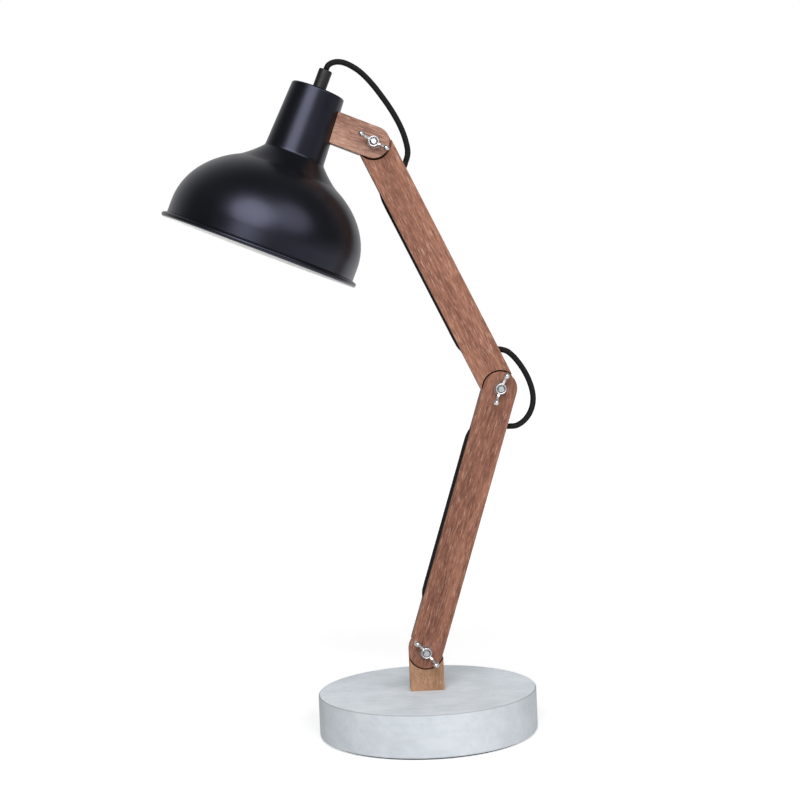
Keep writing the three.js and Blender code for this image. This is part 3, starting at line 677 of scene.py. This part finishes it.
ELBOW_LOOP = metres([
    [83.9, 0, 366.15], [89.2, 0, 364.4], [95, 0, 359.6], [101, 0, 352], [106.6, 0, 342.6],
    [110.6, 0, 332.8], [112.7, 0, 324], [113, 0, 316.6], [111.4, 0, 308.8], [107.6, 0, 301.5],
    [102, 0, 295.7], [95.2, 0, 292.4], [88.5, 0, 292.2],
])
LEAD_TO_COIL = metres([
    [7.7, 13.5, 118.5], [9.5, 18.4, 115.4], [11.4, 23.6, 109.8], [12.6, 28, 102], [12.8, 32, 90],
    [12, 35, 76], [10.8, 39, 62], [9.8, 46.5, 51], [9.2, 58, 45.6], [8.8, 72, 45], [8.4, 86, 45],
    [7.6, 98, 45.3], [6, 109, 43.8], [3.6, 120, 38], [0.4, 131.5, 28], [-5, 143, 17],
    [-13, 153.5, 8.5], [-24, 161.8, 4], [-38, 166.5, 2.9], [-52, 168.3, 2.9], [-64, 168.6, 2.9],
    [-75, 168, 2.9], [-86.5, 164.9, 2.9], [-94.9, 156.5, 2.9], [-98, 145, 3.3], [-94.9, 133.5, 4.6],
    [-86.5, 125.1, 6.3], [-75, 122.2, 7.9], [-62, 122, 8.5], [-38, 122, 8.5], [-12, 122, 8.5],
    [-1, 122, 8.5], [7, 120.8, 8.3], [14, 118.8, 7.8], [22, 116.3, 6.7], [31, 114, 5.4],
])
LEAD_TO_PLUG = metres([
    [37, 197, 9.1], [28, 197.6, 8.2], [22, 197.8, 7.8], [16, 197.7, 7.2], [7, 197.5, 7], [0, 197.5, 6.9],
])


def lengthened(points, extra):
    """A route whose straight ends run on by a little, so that it meets the next stretch of cord."""
    first, second, before_last, last = (Vector(points[i]) for i in (0, 1, -2, -1))
    start = first + extra * (first - second).normalized()
    end = last + extra * (last - before_last).normalized()
    return [start, *points, end]


def smoothstep(value):
    value = min(max(value, 0), 1)
    return value * value * (3 - 2 * value)


def coil_route():
    """Two flat spirals, one on the other: inward on the surface, then outward on top of it."""
    steps_per_turn = 40
    half = COIL_TURNS / 2
    climb_start, climb_turns = half - 0.1, 0.35
    route = []
    for step in range(int(COIL_TURNS * steps_per_turn) + 1):
        turn = step / steps_per_turn
        radius = COIL_RADIUS + COIL_PITCH * (abs(turn - half) - half / 2)
        angle = 2 * math.pi * (turn - 0.25)
        height = COIL_LOW + COIL_PITCH * smoothstep((turn - climb_start) / climb_turns)
        route.append([
            COIL_CENTRE[0] + radius * math.cos(angle), COIL_CENTRE[1] + radius * math.sin(angle), height,
        ])
    return route


# ---- base and post ----------------------------------------------------------------------------
def add_base():
    low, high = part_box("concrete_base")
    radius, edge = high[0], 0.002
    outline = [
        (0, low[2]),
        *arc((radius - edge, low[2] + edge), edge, -90, 0, 6),
        *arc((radius - edge, high[2] - edge), edge, 0, 90, 8),
        (0, high[2]),
    ]
    base = smooth(lathe("concrete_base_visual", outline, 192), 50)
    add_piece(base, "base", "concrete", ["concrete_base"])


def bar_outline(width, bottom, top, round_bottom=True, round_top=True):
    """The (x, z) outline of a flat bar with round or square ends, anticlockwise from the front."""
    half = width / 2
    lower = arc((0, bottom), half, 180, 360, 48) if round_bottom else [(-half, bottom), (half, bottom)]
    upper = arc((0, top), half, 0, 180, 48) if round_top else [(half, top), (-half, top)]
    return lower + upper


def lap_tool(height, shoulder, tongue):
    """What is cut away at a pivot to leave a tongue on the front or the rear half."""
    beyond = ARM_THICK
    low, high = (-LAP_GAP / 2, beyond) if tongue == "front" else (-beyond, LAP_GAP / 2)
    return disc_y("lap", shoulder, low, high, height, 96)


def neck_pocket(height):
    """The square hole for a carriage bolt's neck, in the rear tongue."""
    half = BOLT_NECK / 2 + GAP
    outline = [(-half, height - half), (half, height - half), (half, height + half), (-half, height + half)]
    return prism("pocket", outline, ARM_THICK / 2 - NECK_DEPTH - GAP, ARM_THICK)


def wooden_bar(name, outline, pivots, tongue, tools=()):
    """A bar with a half lap and a bolt hole at each (height, shoulder radius) pivot."""
    bar = prism(name, outline, -ARM_THICK / 2, ARM_THICK / 2)
    combine(bar, [lap_tool(height, shoulder, tongue) for height, shoulder in pivots])
    bevel(bar, WOOD_EDGE)
    holes = [disc_y("hole", BOLT_RADIUS + GAP, -ARM_THICK, ARM_THICK, height) for height, _ in pivots]
    pockets = [neck_pocket(height) for height, _ in pivots] if tongue == "rear" else []
    return smooth(combine(bar, [*holes, *pockets, *tools]))


def add_wood():
    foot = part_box("concrete_base")[1][2] + 0.0001 - base_pivot.z
    post_outline = bar_outline(ARM_WIDTH, foot, 0, round_bottom=False)
    post = wooden_bar("base_post_visual", post_outline, [(0, SHOULDER)], "rear")
    add_piece(post, "base", "oak", ["base_post"], Matrix.Translation(base_pivot))

    for name, place, channel, top_shoulder, tongue in (
        ("lower_arm", lower_frame, LOWER_CHANNEL, SHOULDER, "front"),
        ("upper_arm", upper_frame, UPPER_CHANNEL, HEAD_SHOULDER, "rear"),
    ):
        slot = "dark_wood" if name == "lower_arm" else "brown_wood"
        groove = tube("channel", smooth_route(channel, 0.003), CHANNEL_RADIUS, 24)
        pivots = [(0, SHOULDER), (arm_length, top_shoulder)]
        outline = bar_outline(ARM_WIDTH, 0, arm_length)
        arm = wooden_bar(f"{name}_visual", outline, pivots, tongue, [groove])
        add_piece(arm, name, slot, [name], place)

    clear_foot, clear_top = (NECK_FOOT[0] + GAP, NECK_FOOT[1]), (NECK_TOP[0] + GAP, NECK_TOP[1])
    neck = lathe("neck", [(0, clear_foot[1]), clear_foot, clear_top, (0, clear_top[1])], 128)
    transform(neck, link_frame.inverted() @ shade_frame)
    outline = bar_outline(LINK_WIDTH, 0, LINK_LENGTH - 0.005, round_top=False)
    link = wooden_bar("head_link_visual", outline, [(0, HEAD_SHOULDER)], "front", [neck])
    add_piece(link, "head", "link_wood", ["head_link"], link_frame)


# ---- bolts, washers and wing nuts -------------------------------------------------------------
def threaded_rod(name, radius, start, end, pitch, depth, chamfer):
    """A rod on axis Z with a helical thread and a chamfered far end."""
    sides, rows_per_turn = 32, 8
    rows = round((end - start) / pitch * rows_per_turn)
    vertices = []
    for row in range(rows + 1):
        height = start + (end - start) * row / rows
        for k in range(sides):
            phase = (height / pitch - k / sides) % 1
            reach = radius - depth * (1 - abs(2 * phase - 1))
            reach = min(reach, radius - max(0, height - (end - chamfer)))
            angle = 2 * math.pi * k / sides
            vertices.append((reach * math.cos(angle), reach * math.sin(angle), height))
    faces = [list(range(sides - 1, -1, -1)), list(range(rows * sides, (rows + 1) * sides))]
    for row in range(rows):
        for k in range(sides):
            j = (k + 1) % sides
            low = row * sides
            faces.append([low + k, low + j, low + sides + j, low + sides + k])
    return new_object(name, vertices, faces)


def carriage_bolt(name):
    """Drawn on +Z, which along_front turns to -Y: the domed head is at the rear."""
    rear = -ARM_THICK / 2 - GAP
    thread_start = ARM_THICK / 2 - 0.001
    dome = [
        (BOLT_HEAD * math.cos(a), rear - BOLT_HEAD_RISE * math.sin(a))
        for a in (math.radians(90 - 90 * i / 12) for i in range(13))
    ]
    dome[0] = (0, dome[0][1])
    head = lathe(name, [*dome, (BOLT_RADIUS, rear), (BOLT_RADIUS, thread_start), (0, thread_start)], 48)
    half = BOLT_NECK / 2
    square = [(-half, rear), (half, rear), (half, rear + NECK_DEPTH), (-half, rear + NECK_DEPTH)]
    neck = prism("neck", square, -half, half)
    rod = threaded_rod("rod", BOLT_RADIUS, thread_start, BOLT_REACH, 0.001, 0.00055, 0.0007)
    return smooth(along_front(merge(head, [neck, rod])), 40)


def flat_washer(name, inner, outer, low, high):
    edge = 0.00025
    outline = [
        (inner, low), (outer - edge, low), (outer, low + edge), (outer, high - edge), (outer - edge, high),
        (inner + edge, high), (inner, high - edge),
    ]
    return smooth(along_front(lathe(name, outline, 64)))


def ellipsoid(name, radii, centre):
    obj = new_object(name, [], [])
    ball = bmesh.new()
    bmesh.ops.create_uvsphere(ball, u_segments=32, v_segments=20, radius=1)
    ball.transform(Matrix.Translation(centre) @ Matrix.Diagonal((*radii, 1)))
    ball.to_mesh(obj.data)
    ball.free()
    return obj


def wing_nut(name):
    """Cast in one piece: a tapered hub, two webs and a lobe at each tip."""
    bottom = ARM_THICK / 2 + WASHER_THICK + 2 * GAP
    bore = BOLT_RADIUS + GAP
    mouth, sink = bore + 0.0009, 0.0014
    hub = lathe(name, [
        (bore, 0), (NUT_HUB, 0), (NUT_HUB, 0.0015), (NUT_HUB_TOP, NUT_HEIGHT), (mouth, NUT_HEIGHT),
        (bore, NUT_HEIGHT - sink),
    ], 64)
    tip_out, tip_up = NUT_TIP
    outline = [
        (0.004, 0.001),
        *bezier((0.004, 0.001), (0.008, 0.0015), (0.0119, 0.004), (tip_out + 0.0022, tip_up - 0.0025), 8),
        *arc((tip_out, tip_up), 0.0026, -40, 160, 12),
        *bezier((tip_out - 0.0024, tip_up + 0.0009), (0.0101, 0.008), (0.007, 0.0063), (0.004, 0.006), 8),
    ]
    pieces = []
    for turn in (0, math.pi):
        web = prism("web", outline, -NUT_WING / 2, NUT_WING / 2)
        lobe = ellipsoid("lobe", (0.0033, 0.0028, 0.0042), (tip_out, 0, tip_up - 0.0006))
        pieces += [transform(piece, Matrix.Rotation(turn, 4, "Z")) for piece in (web, lobe)]
    nut = melt(merge(hub, pieces), 0.0003, 4)
    transform(nut, Matrix.Translation((0, 0, bottom)))
    nut = along_front(nut)
    nut.data.shade_smooth()
    return nut


def add_hardware():
    front = -ARM_THICK / 2 - GAP
    neck_turns = {"base": Matrix.Identity(4), "elbow": upper_frame, "head": upper_frame}
    bodies = {"base": "base", "elbow": "upper_arm", "head": "upper_arm"}
    for name, pivot in (("base", base_pivot), ("elbow", elbow_pivot), ("head", head_pivot)):
        place = Matrix.Translation(pivot)
        turned = place @ neck_turns[name].to_3x3().to_4x4()
        add_piece(carriage_bolt(f"{name}_bolt_visual"), bodies[name], "zinc", [f"{name}_bolt"], turned)
        washer = flat_washer(
            f"{name}_washer_visual", BOLT_RADIUS + GAP, WASHER_RADIUS, -front, -front + WASHER_THICK,
        )
        add_piece(washer, bodies[name], "zinc", [f"{name}_washer"], place)
        wings = place @ Matrix.Rotation(-math.radians(NUT_TURN[name]), 4, "Y")
        nut_name = f"{name}_wing_nut"
        add_piece(wing_nut(f"{nut_name}_visual"), nut_name, "zinc", [nut_name], wings)


# ---- shade ------------------------------------------------------------------------------------
def toward(start, end, distance):
    """The point at a distance from one point toward another."""
    return tuple(Vector(start) + (Vector(end) - Vector(start)).normalized() * distance)


def shade_line():
    """The outer line of the sheet, from its rolled bead to the edge of its flat top."""
    dome = [(WALL * r, WALL_TOP + DOME_RISE * z) for r, z in arc((0, 0), 1, 0, DOME_END, 30)]
    end = dome[-1]
    flare = (NECK_FOOT[0] + 0.0072, NECK_FOOT[1] - 0.0076)
    fillet_end = toward(NECK_FOOT, flare, NECK_FOOT_ROUND)
    fillet = bezier(end, (end[0] - 0.0045, end[1] + 0.0023), flare, fillet_end, 14)
    neck_start = toward(NECK_FOOT, NECK_TOP, NECK_FOOT_ROUND)
    crease = bezier(fillet_end, NECK_FOOT, NECK_FOOT, neck_start, 12)
    corner = NECK_TOP_CORNER
    shoulder = arc((NECK_TOP[0] - corner, NECK_TOP[1] - corner), corner, 0, 90, 8)
    return [(WALL, 0.0032), *dome, *fillet, *crease, *shoulder]


def offset(line, distance):
    """A line moved inward, square to itself, by a distance."""
    moved = []
    for i, (radius, height) in enumerate(line):
        before, after = line[max(i - 1, 0)], line[min(i + 1, len(line) - 1)]
        along = Vector((after[0] - before[0], after[1] - before[1])).normalized()
        moved.append((radius - along.y * distance, height + along.x * distance))
    return moved


def add_shade():
    line = shade_line()
    middle = SHEET / 2
    hole = NIPPLE_RADIUS + GAP
    top = NECK_TOP[1]
    bead_centre = (RIM_RADIUS - BEAD, 0)
    bead = arc(bead_centre, BEAD, -92, 78, 18)
    outside = [*bead, *line, (hole, top), (hole, top - middle), *reversed(offset(line, middle))]
    skin = smooth(lathe("shade_visual", outside, 192), 40)
    add_piece(skin, "head", "shade_black", ["shade"], shade_frame)
    inside = [
        *offset(line, middle + 0.0001), (hole, top - middle - 0.0001), (hole, top - SHEET),
        *reversed(offset(line, SHEET)), *arc(bead_centre, BEAD, -165, -96, 10),
    ]
    lining = smooth(lathe("shade_lining", inside, 192), 40)
    add_piece(lining, "head", "shade_white", ["shade"], shade_frame)


# ---- cord grip, lampholder and bulb -----------------------------------------------------------
def add_lampholder():
    def add(name, outline, slot, segments=96, angle=35):
        piece = smooth(lathe(f"{name}_visual", outline, segments), angle)
        add_piece(piece, "head", slot, [name], shade_frame)

    thread = NIPPLE_RADIUS + GAP
    low, high, radius = GRIP["bottom"], GRIP["top"], GRIP["radius"]
    bore = CORD_RADIUS + GAP
    add("cable_grip", [
        (thread, low), *arc((radius - 0.0004, low + 0.0004), 0.0004, -90, 0, 4),
        *arc((radius - 0.001, high - 0.001), 0.001, 0, 90, 6),
        *arc((bore + 0.0006, high - 0.0006), 0.0006, 90, 180, 4),
        (bore, low + 0.0078), (thread, low + 0.0078),
    ], "black_plastic")
    low, high = NECK_TOP[1] + GAP, GRIP["bottom"] - GAP
    edge = 0.0004
    add("grip_ring", [
        (thread, low), *arc((GRIP["ring"] - edge, low + edge), edge, -90, 0, 4),
        *arc((GRIP["ring"] - edge, high - edge), edge, 0, 90, 4), (thread, high),
    ], "zinc")

    radius, seam, top = HOLDER["radius"], HOLDER["seam"], HOLDER["top"]
    groove = 0.0005
    add("lampholder_cap", [
        (radius - 0.002, seam + GAP), (radius, seam + GAP), (radius, seam + 0.004),
        *arc((radius - 0.008, seam + 0.004), 0.008, 0, 75, 14),
        (0.0095, top - 0.002), (0.009, top), (thread, top), (thread, top - 0.002), (0.008, top - 0.0035),
        (radius - 0.002, seam + 0.0035),
    ], "black_plastic")
    ribs = []
    for i in range(6):
        height = HOLDER["bottom"] + 0.006 + 0.0045 * i
        ribs += [(radius, height), (radius - groove, height + 0.0006), (radius, height + 0.0012)]
    add("lampholder_shell", [
        (0, seam - 0.003), (HOLDER["bore"], seam - 0.003), (HOLDER["bore"], HOLDER["bottom"]),
        *arc((radius - 0.0015, HOLDER["bottom"] + 0.0015), 0.0015, -90, 0, 6),
        *ribs, (radius, seam), (0, seam),
    ], "black_plastic")

    globe, centre, wall = BULB["radius"], BULB["centre"], BULB["wall"]
    mouth = (BULB["cap_radius"] - 0.0015, BULB["cap_bottom"] - GAP)
    ball = arc((0, centre), globe, -90, 28, 40)
    ball[0] = (0, centre - globe)
    outer = ball + bezier(ball[-1], *BULB["neck_pulls"], mouth, 16)
    inner = offset(outer, wall)[::-1]
    inner[-1] = (0, centre - globe + wall)
    add("bulb_globe", [*outer, *inner], "opal_glass", 96, 60)
    cap = threaded_rod(
        "bulb_cap_visual", BULB["cap_radius"], BULB["cap_bottom"], BULB["cap_top"], 0.0036, 0.0009, 0.004,
    )
    add_piece(smooth(cap, 60), "head", "bulb_metal", ["bulb_cap"], shade_frame)


# ---- inline switch, plug and tie --------------------------------------------------------------
def rounded_stack(name, length, width, corner, levels):
    """A rounded slab of stacked outlines, one for each (inset, height) level."""
    steps = 8
    vertices = []
    for inset, height in levels:
        for x_side, y_side, start in ((1, 1, 0), (-1, 1, 90), (-1, -1, 180), (1, -1, 270)):
            centre = (x_side * (length / 2 - corner), y_side * (width / 2 - corner))
            vertices += [(*point, height) for point in arc(centre, corner - inset, start, start + 90, steps)]
    count = 4 * (steps + 1)
    last = (len(levels) - 1) * count
    faces = [list(range(count - 1, -1, -1)), list(range(last, last + count))]
    for level in range(len(levels) - 1):
        for i in range(count):
            j = (i + 1) % count
            low = level * count
            faces.append([low + i, low + j, low + count + j, low + count + i])
    return new_object(name, vertices, faces)


def rounded_levels(low, high, low_round, high_round):
    """(inset, height) levels of a slab whose lower and upper rims are rounded."""
    lower = [(low_round - r, low + low_round + z) for r, z in arc((0, 0), low_round, -90, 0, 5)]
    upper = [(high_round - r, high - high_round + z) for r, z in arc((0, 0), high_round, 0, 90, 6)]
    return lower + upper


def relief_sleeve(name, start, length, height, wide, narrow):
    """A tapered strain relief along X with shallow rings, from a housing's end."""
    rings = 5
    reach = abs(length)
    outline = [(0, 0), (wide, 0)]
    for i in range(rings):
        near = reach * (i + 0.35) / rings
        far = reach * (i + 0.75) / rings
        near_radius = wide + (narrow - wide) * near / reach
        far_radius = wide + (narrow - wide) * far / reach
        outline += [
            (near_radius, near), (near_radius - 0.0005, near + 0.0001),
            (far_radius - 0.0005, far - 0.0001), (far_radius, far),
        ]
    outline += [(narrow, reach), (0, reach)]
    sleeve = lathe(name, outline, 48)
    turn = Matrix.Rotation(math.copysign(math.pi / 2, length), 4, "Y")
    return transform(sleeve, Matrix.Translation((start, 0, height)) @ turn)


def block(name, x, y, z):
    """A plain cutting tool between two corners."""
    return prism(name, [(x[0], z[0]), (x[1], z[0]), (x[1], z[1]), (x[0], z[1])], *y)


def add_switch():
    size = SWITCH
    place = Matrix.Translation((*size["centre"], 0))
    end = size["length"] / 2 - 0.0005
    seam, height = size["seam"], size["height"]
    for half, levels, removed in (
        ("lower", rounded_levels(0.0001, seam - 0.00015, 0.002, 0.0003), (seam - 0.00015, 0.1)),
        ("upper", rounded_levels(seam + 0.00015, height, 0.0003, 0.0035), (-0.1, seam + 0.00015)),
    ):
        node = f"switch_{half}_shell"
        shell = rounded_stack(f"{node}_visual", size["length"], size["width"], size["corner"], levels)
        sleeves = [
            relief_sleeve("sleeve", side * end, side * size["relief"], seam, 0.0054, 0.0038)
            for side in (1, -1)
        ]
        combine(shell, sleeves, "UNION")
        tools = [block("half", (-0.1, 0.1), (-0.1, 0.1), removed)]
        if half == "upper":
            long, wide = ROCKER["length"] / 2 + 0.0005, ROCKER["width"] / 2 + 0.0005
            tools.append(block("well", (-long, long), (-wide, wide), (height - 0.0055, height + 0.01)))
        add_piece(smooth(combine(shell, tools)), "base", "black_plastic", [node], place)

    long, rise, dip = ROCKER["length"] / 2, ROCKER["rise"], ROCKER["dip"]
    dished = [(long * (1 - i / 8), rise + dip * (1 - i / 8) ** 2) for i in range(17)]
    outline = [(-long + 0.0008, -0.002), (long - 0.0008, -0.002), *dished]
    key = prism("switch_rocker_visual", outline, -ROCKER["width"] / 2, ROCKER["width"] / 2)
    transform(key, Matrix.Rotation(math.radians(ROCKER["tilt"]), 4, "Y"))
    key = smooth(bevel(key, 0.0004, 2, 30), 50)
    pivot = Matrix.Translation((*size["centre"], ROCKER["pivot"]))
    add_piece(key, "switch_rocker", "black_plastic", ["switch_rocker"], pivot)


def grip_groove(i, side, width):
    """A shallow upright groove for the fingers in one side of the plug."""
    x, y, wide, deep = 0.002 + 0.0035 * i, side * width / 2, 0.0015, 0.0007
    return block("groove", (x, x + wide), (y - deep, y + deep), (0.003, 0.0108))


def add_plug():
    size = PLUG
    place = Matrix.Translation((*size["centre"], 0))
    length, width, height = size["length"], size["width"], size["height"]
    body = rounded_stack(
        "plug_body_visual", length, width, size["corner"], rounded_levels(0.0001, height, 0.003, 0.003),
    )
    pin_radius, collar_length, lie_down = size["pin"], 0.010, Matrix.Rotation(-math.pi / 2, 4, "Y")
    pieces = [relief_sleeve("sleeve", length / 2 - 0.0005, size["relief"], height / 2, 0.0052, 0.0035)]
    for side in (-1, 1):
        thin = pin_radius - 0.0001
        collar = lathe("collar", [(0, 0), (thin, 0), (thin, collar_length), (0, collar_length)], 32)
        foot = Matrix.Translation((-length / 2 + 0.001, side * size["spread"], height / 2))
        pieces.append(transform(collar, foot @ lie_down))
    combine(body, pieces, "UNION")
    combine(body, [grip_groove(i, side, width) for i in range(4) for side in (-1, 1)])
    add_piece(smooth(body), "base", "black_plastic", ["plug_body"], place)
    for name, side in (("near", -1), ("far", 1)):
        reach, tip, start = size["pin_length"], 0.0012, collar_length - 0.0015
        outline = [
            (0, start), (pin_radius, start), *arc((pin_radius - tip, reach - tip), tip, 0, 90, 6), (0, reach),
        ]
        pin = smooth(lathe(f"plug_pin_{name}_visual", outline, 48))
        foot = Matrix.Translation((-length / 2 - GAP, side * size["spread"], height / 2))
        add_piece(pin, "base", "pin_metal", [f"plug_pin_{name}"], place @ foot @ lie_down)


def add_coil_tie():
    """A strap round the coil's section, at one place on the coil."""
    half_wide = COIL_PITCH * COIL_TURNS / 4 + CORD_RADIUS
    inner, outer = COIL_RADIUS - half_wide - 0.0012, COIL_RADIUS + half_wide + 0.0004
    low, high = COIL_LOW - CORD_RADIUS - 0.0002, COIL_LOW + COIL_PITCH + CORD_RADIUS + 0.0004

    def section(grow, corner):
        x = (inner - grow, outer + grow)
        z = (low - min(grow, low - 0.0001), high + grow)
        centres = ((x[1], z[1], 0), (x[0], z[1], 90), (x[0], z[0], 180), (x[1], z[0], 270))
        signs = ((-1, -1), (1, -1), (1, 1), (-1, 1))
        return [
            point for (cx, cz, start), (sx, sz) in zip(centres, signs)
            for point in arc((cx + sx * corner, cz + sz * corner), corner, start, start + 90, 6)
        ]

    strap = prism("coil_tie_visual", section(TIE_THICK, 0.0028), -TIE_WIDTH / 2, TIE_WIDTH / 2)
    combine(strap, [prism("inside", section(0, 0.0022), -TIE_WIDTH, TIE_WIDTH)])
    strap = smooth(bevel(strap, 0.0002, 2, 60))
    place = Matrix.Translation((*COIL_CENTRE, 0)) @ Matrix.Rotation(math.radians(TIE_TURN), 4, "Z")
    add_piece(strap, "base", "hook_and_loop", ["coil_tie"], place)


for add in (add_base, add_wood, add_hardware, add_shade, add_lampholder, add_switch, add_plug, add_coil_tie):
    add()


# ---- cords: the mains lead, the two held runs and the two free loops --------------------------
def add_cords():
    lead_points = LEAD_TO_COIL + coil_route() + LEAD_TO_PLUG
    lead_route = smooth_route(lead_points, 0.0025)
    lead = tube("mains_lead_visual", lead_route, CORD_RADIUS)
    add_piece(lead, None, "braid", ["mains_lead", "lead_switch_to_coil", "lead_coil", "lead_coil_to_plug"])
    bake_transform(lead)
    for name, points, bodies in (
        ("elbow_cord_loop", ELBOW_LOOP, ("upper_arm", "lower_arm")),
        ("head_cord_loop", HEAD_LOOP, ("head", "upper_arm")),
    ):
        route = smooth_route(points, 0.002)
        loop = tube(f"{name}_visual", route, CORD_RADIUS)
        add_piece(loop, None, "braid", [name])
        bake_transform(loop)
    for name, points, place in (
        ("lower_arm", LOWER_CHANNEL, lower_frame),
        ("upper_arm", UPPER_CHANNEL, upper_frame),
    ):
        route = smooth_route(lengthened(points, CORD_OVERLAP), 0.003)
        held = tube(f"{name}_cord_visual", route, CORD_RADIUS)
        add_piece(held, name, "braid", [f"{name}_cord"], place)


add_cords()


# ---- floor and light --------------------------------------------------------------------------
def add_floor():
    """A pale lit floor that takes shadows but is kept out of the lamp's own reflections."""
    size = 12.0
    corners = [(-size, -size, 0), (size, -size, 0), (size, size, 0), (-size, size, 0)]
    floor = new_object("floor", corners, [[0, 1, 2, 3]])
    floor.visible_diffuse = False
    floor.visible_glossy = False
    nodes = Nodes("pale_floor")
    mottle = nodes.noise(nodes.coordinates(), 3, detail=2)
    floor.data.materials.append(nodes.finish(
        Base_Color=nodes.mix(mottle, (0.95, 0.95, 0.95), (0.97, 0.97, 0.97)),
        Roughness=0.9,
        Emission_Color=(1, 1, 1, 1),
        Emission_Strength=0.33,
    ))


def add_far_softbox(name, azimuth, height, angle, strength):
    """A soft light far off: azimuth toward +X from the front and height above the floor, degrees."""
    data = bpy.data.lights.new(name, "SUN")
    data.energy = strength
    data.angle = math.radians(angle)
    turn, rise = math.radians(azimuth), math.radians(height)
    toward = Vector((math.sin(turn) * math.cos(rise), -math.cos(turn) * math.cos(rise), math.sin(rise)))
    light = bpy.data.objects.new(name, data)
    light.rotation_euler = toward.to_track_quat("Z", "Y").to_euler()
    bpy.context.scene.collection.objects.link(light)


def add_light():
    """A white studio whose surround looks white but lights the lamp only a little."""
    nodes = Nodes("studio", "worlds", "Background")
    toward = nodes.add("SeparateXYZ", {"Vector": nodes.add("TexCoord").outputs["Generated"]})
    sweep = nodes.scaled(toward.outputs["Y"], 0.2, 0.9, SURROUND, SURROUND + SWEEP)
    floor = nodes.scaled(toward.outputs["Z"], 0.0, -0.5, 0.0, FLOOR_GLOW)
    seen = nodes.add("LightPath").outputs["Is Camera Ray"]
    strength = nodes.add("Mix", {"Factor": seen, "A": nodes.math("ADD", sweep, floor), "B": 1.0})
    bpy.context.scene.world = nodes.finish(Color=(1, 1, 1, 1), Strength=strength.outputs[0])
    for name, light in LIGHTS.items():
        add_far_softbox(name, *light)


add_floor()
add_light()
bpy.context.scene.view_settings.view_transform = "Standard"


# ---- CAD nodes kept as they are ---------------------------------------------------------------
def finish_kept_nodes():
    for part in frame["record"]["subparts"]:
        node = frame["nodes"][part["node"]]
        node.data.materials.clear()
        node.data.materials.append(MATERIAL[part["material_slot"]])


finish_kept_nodes()
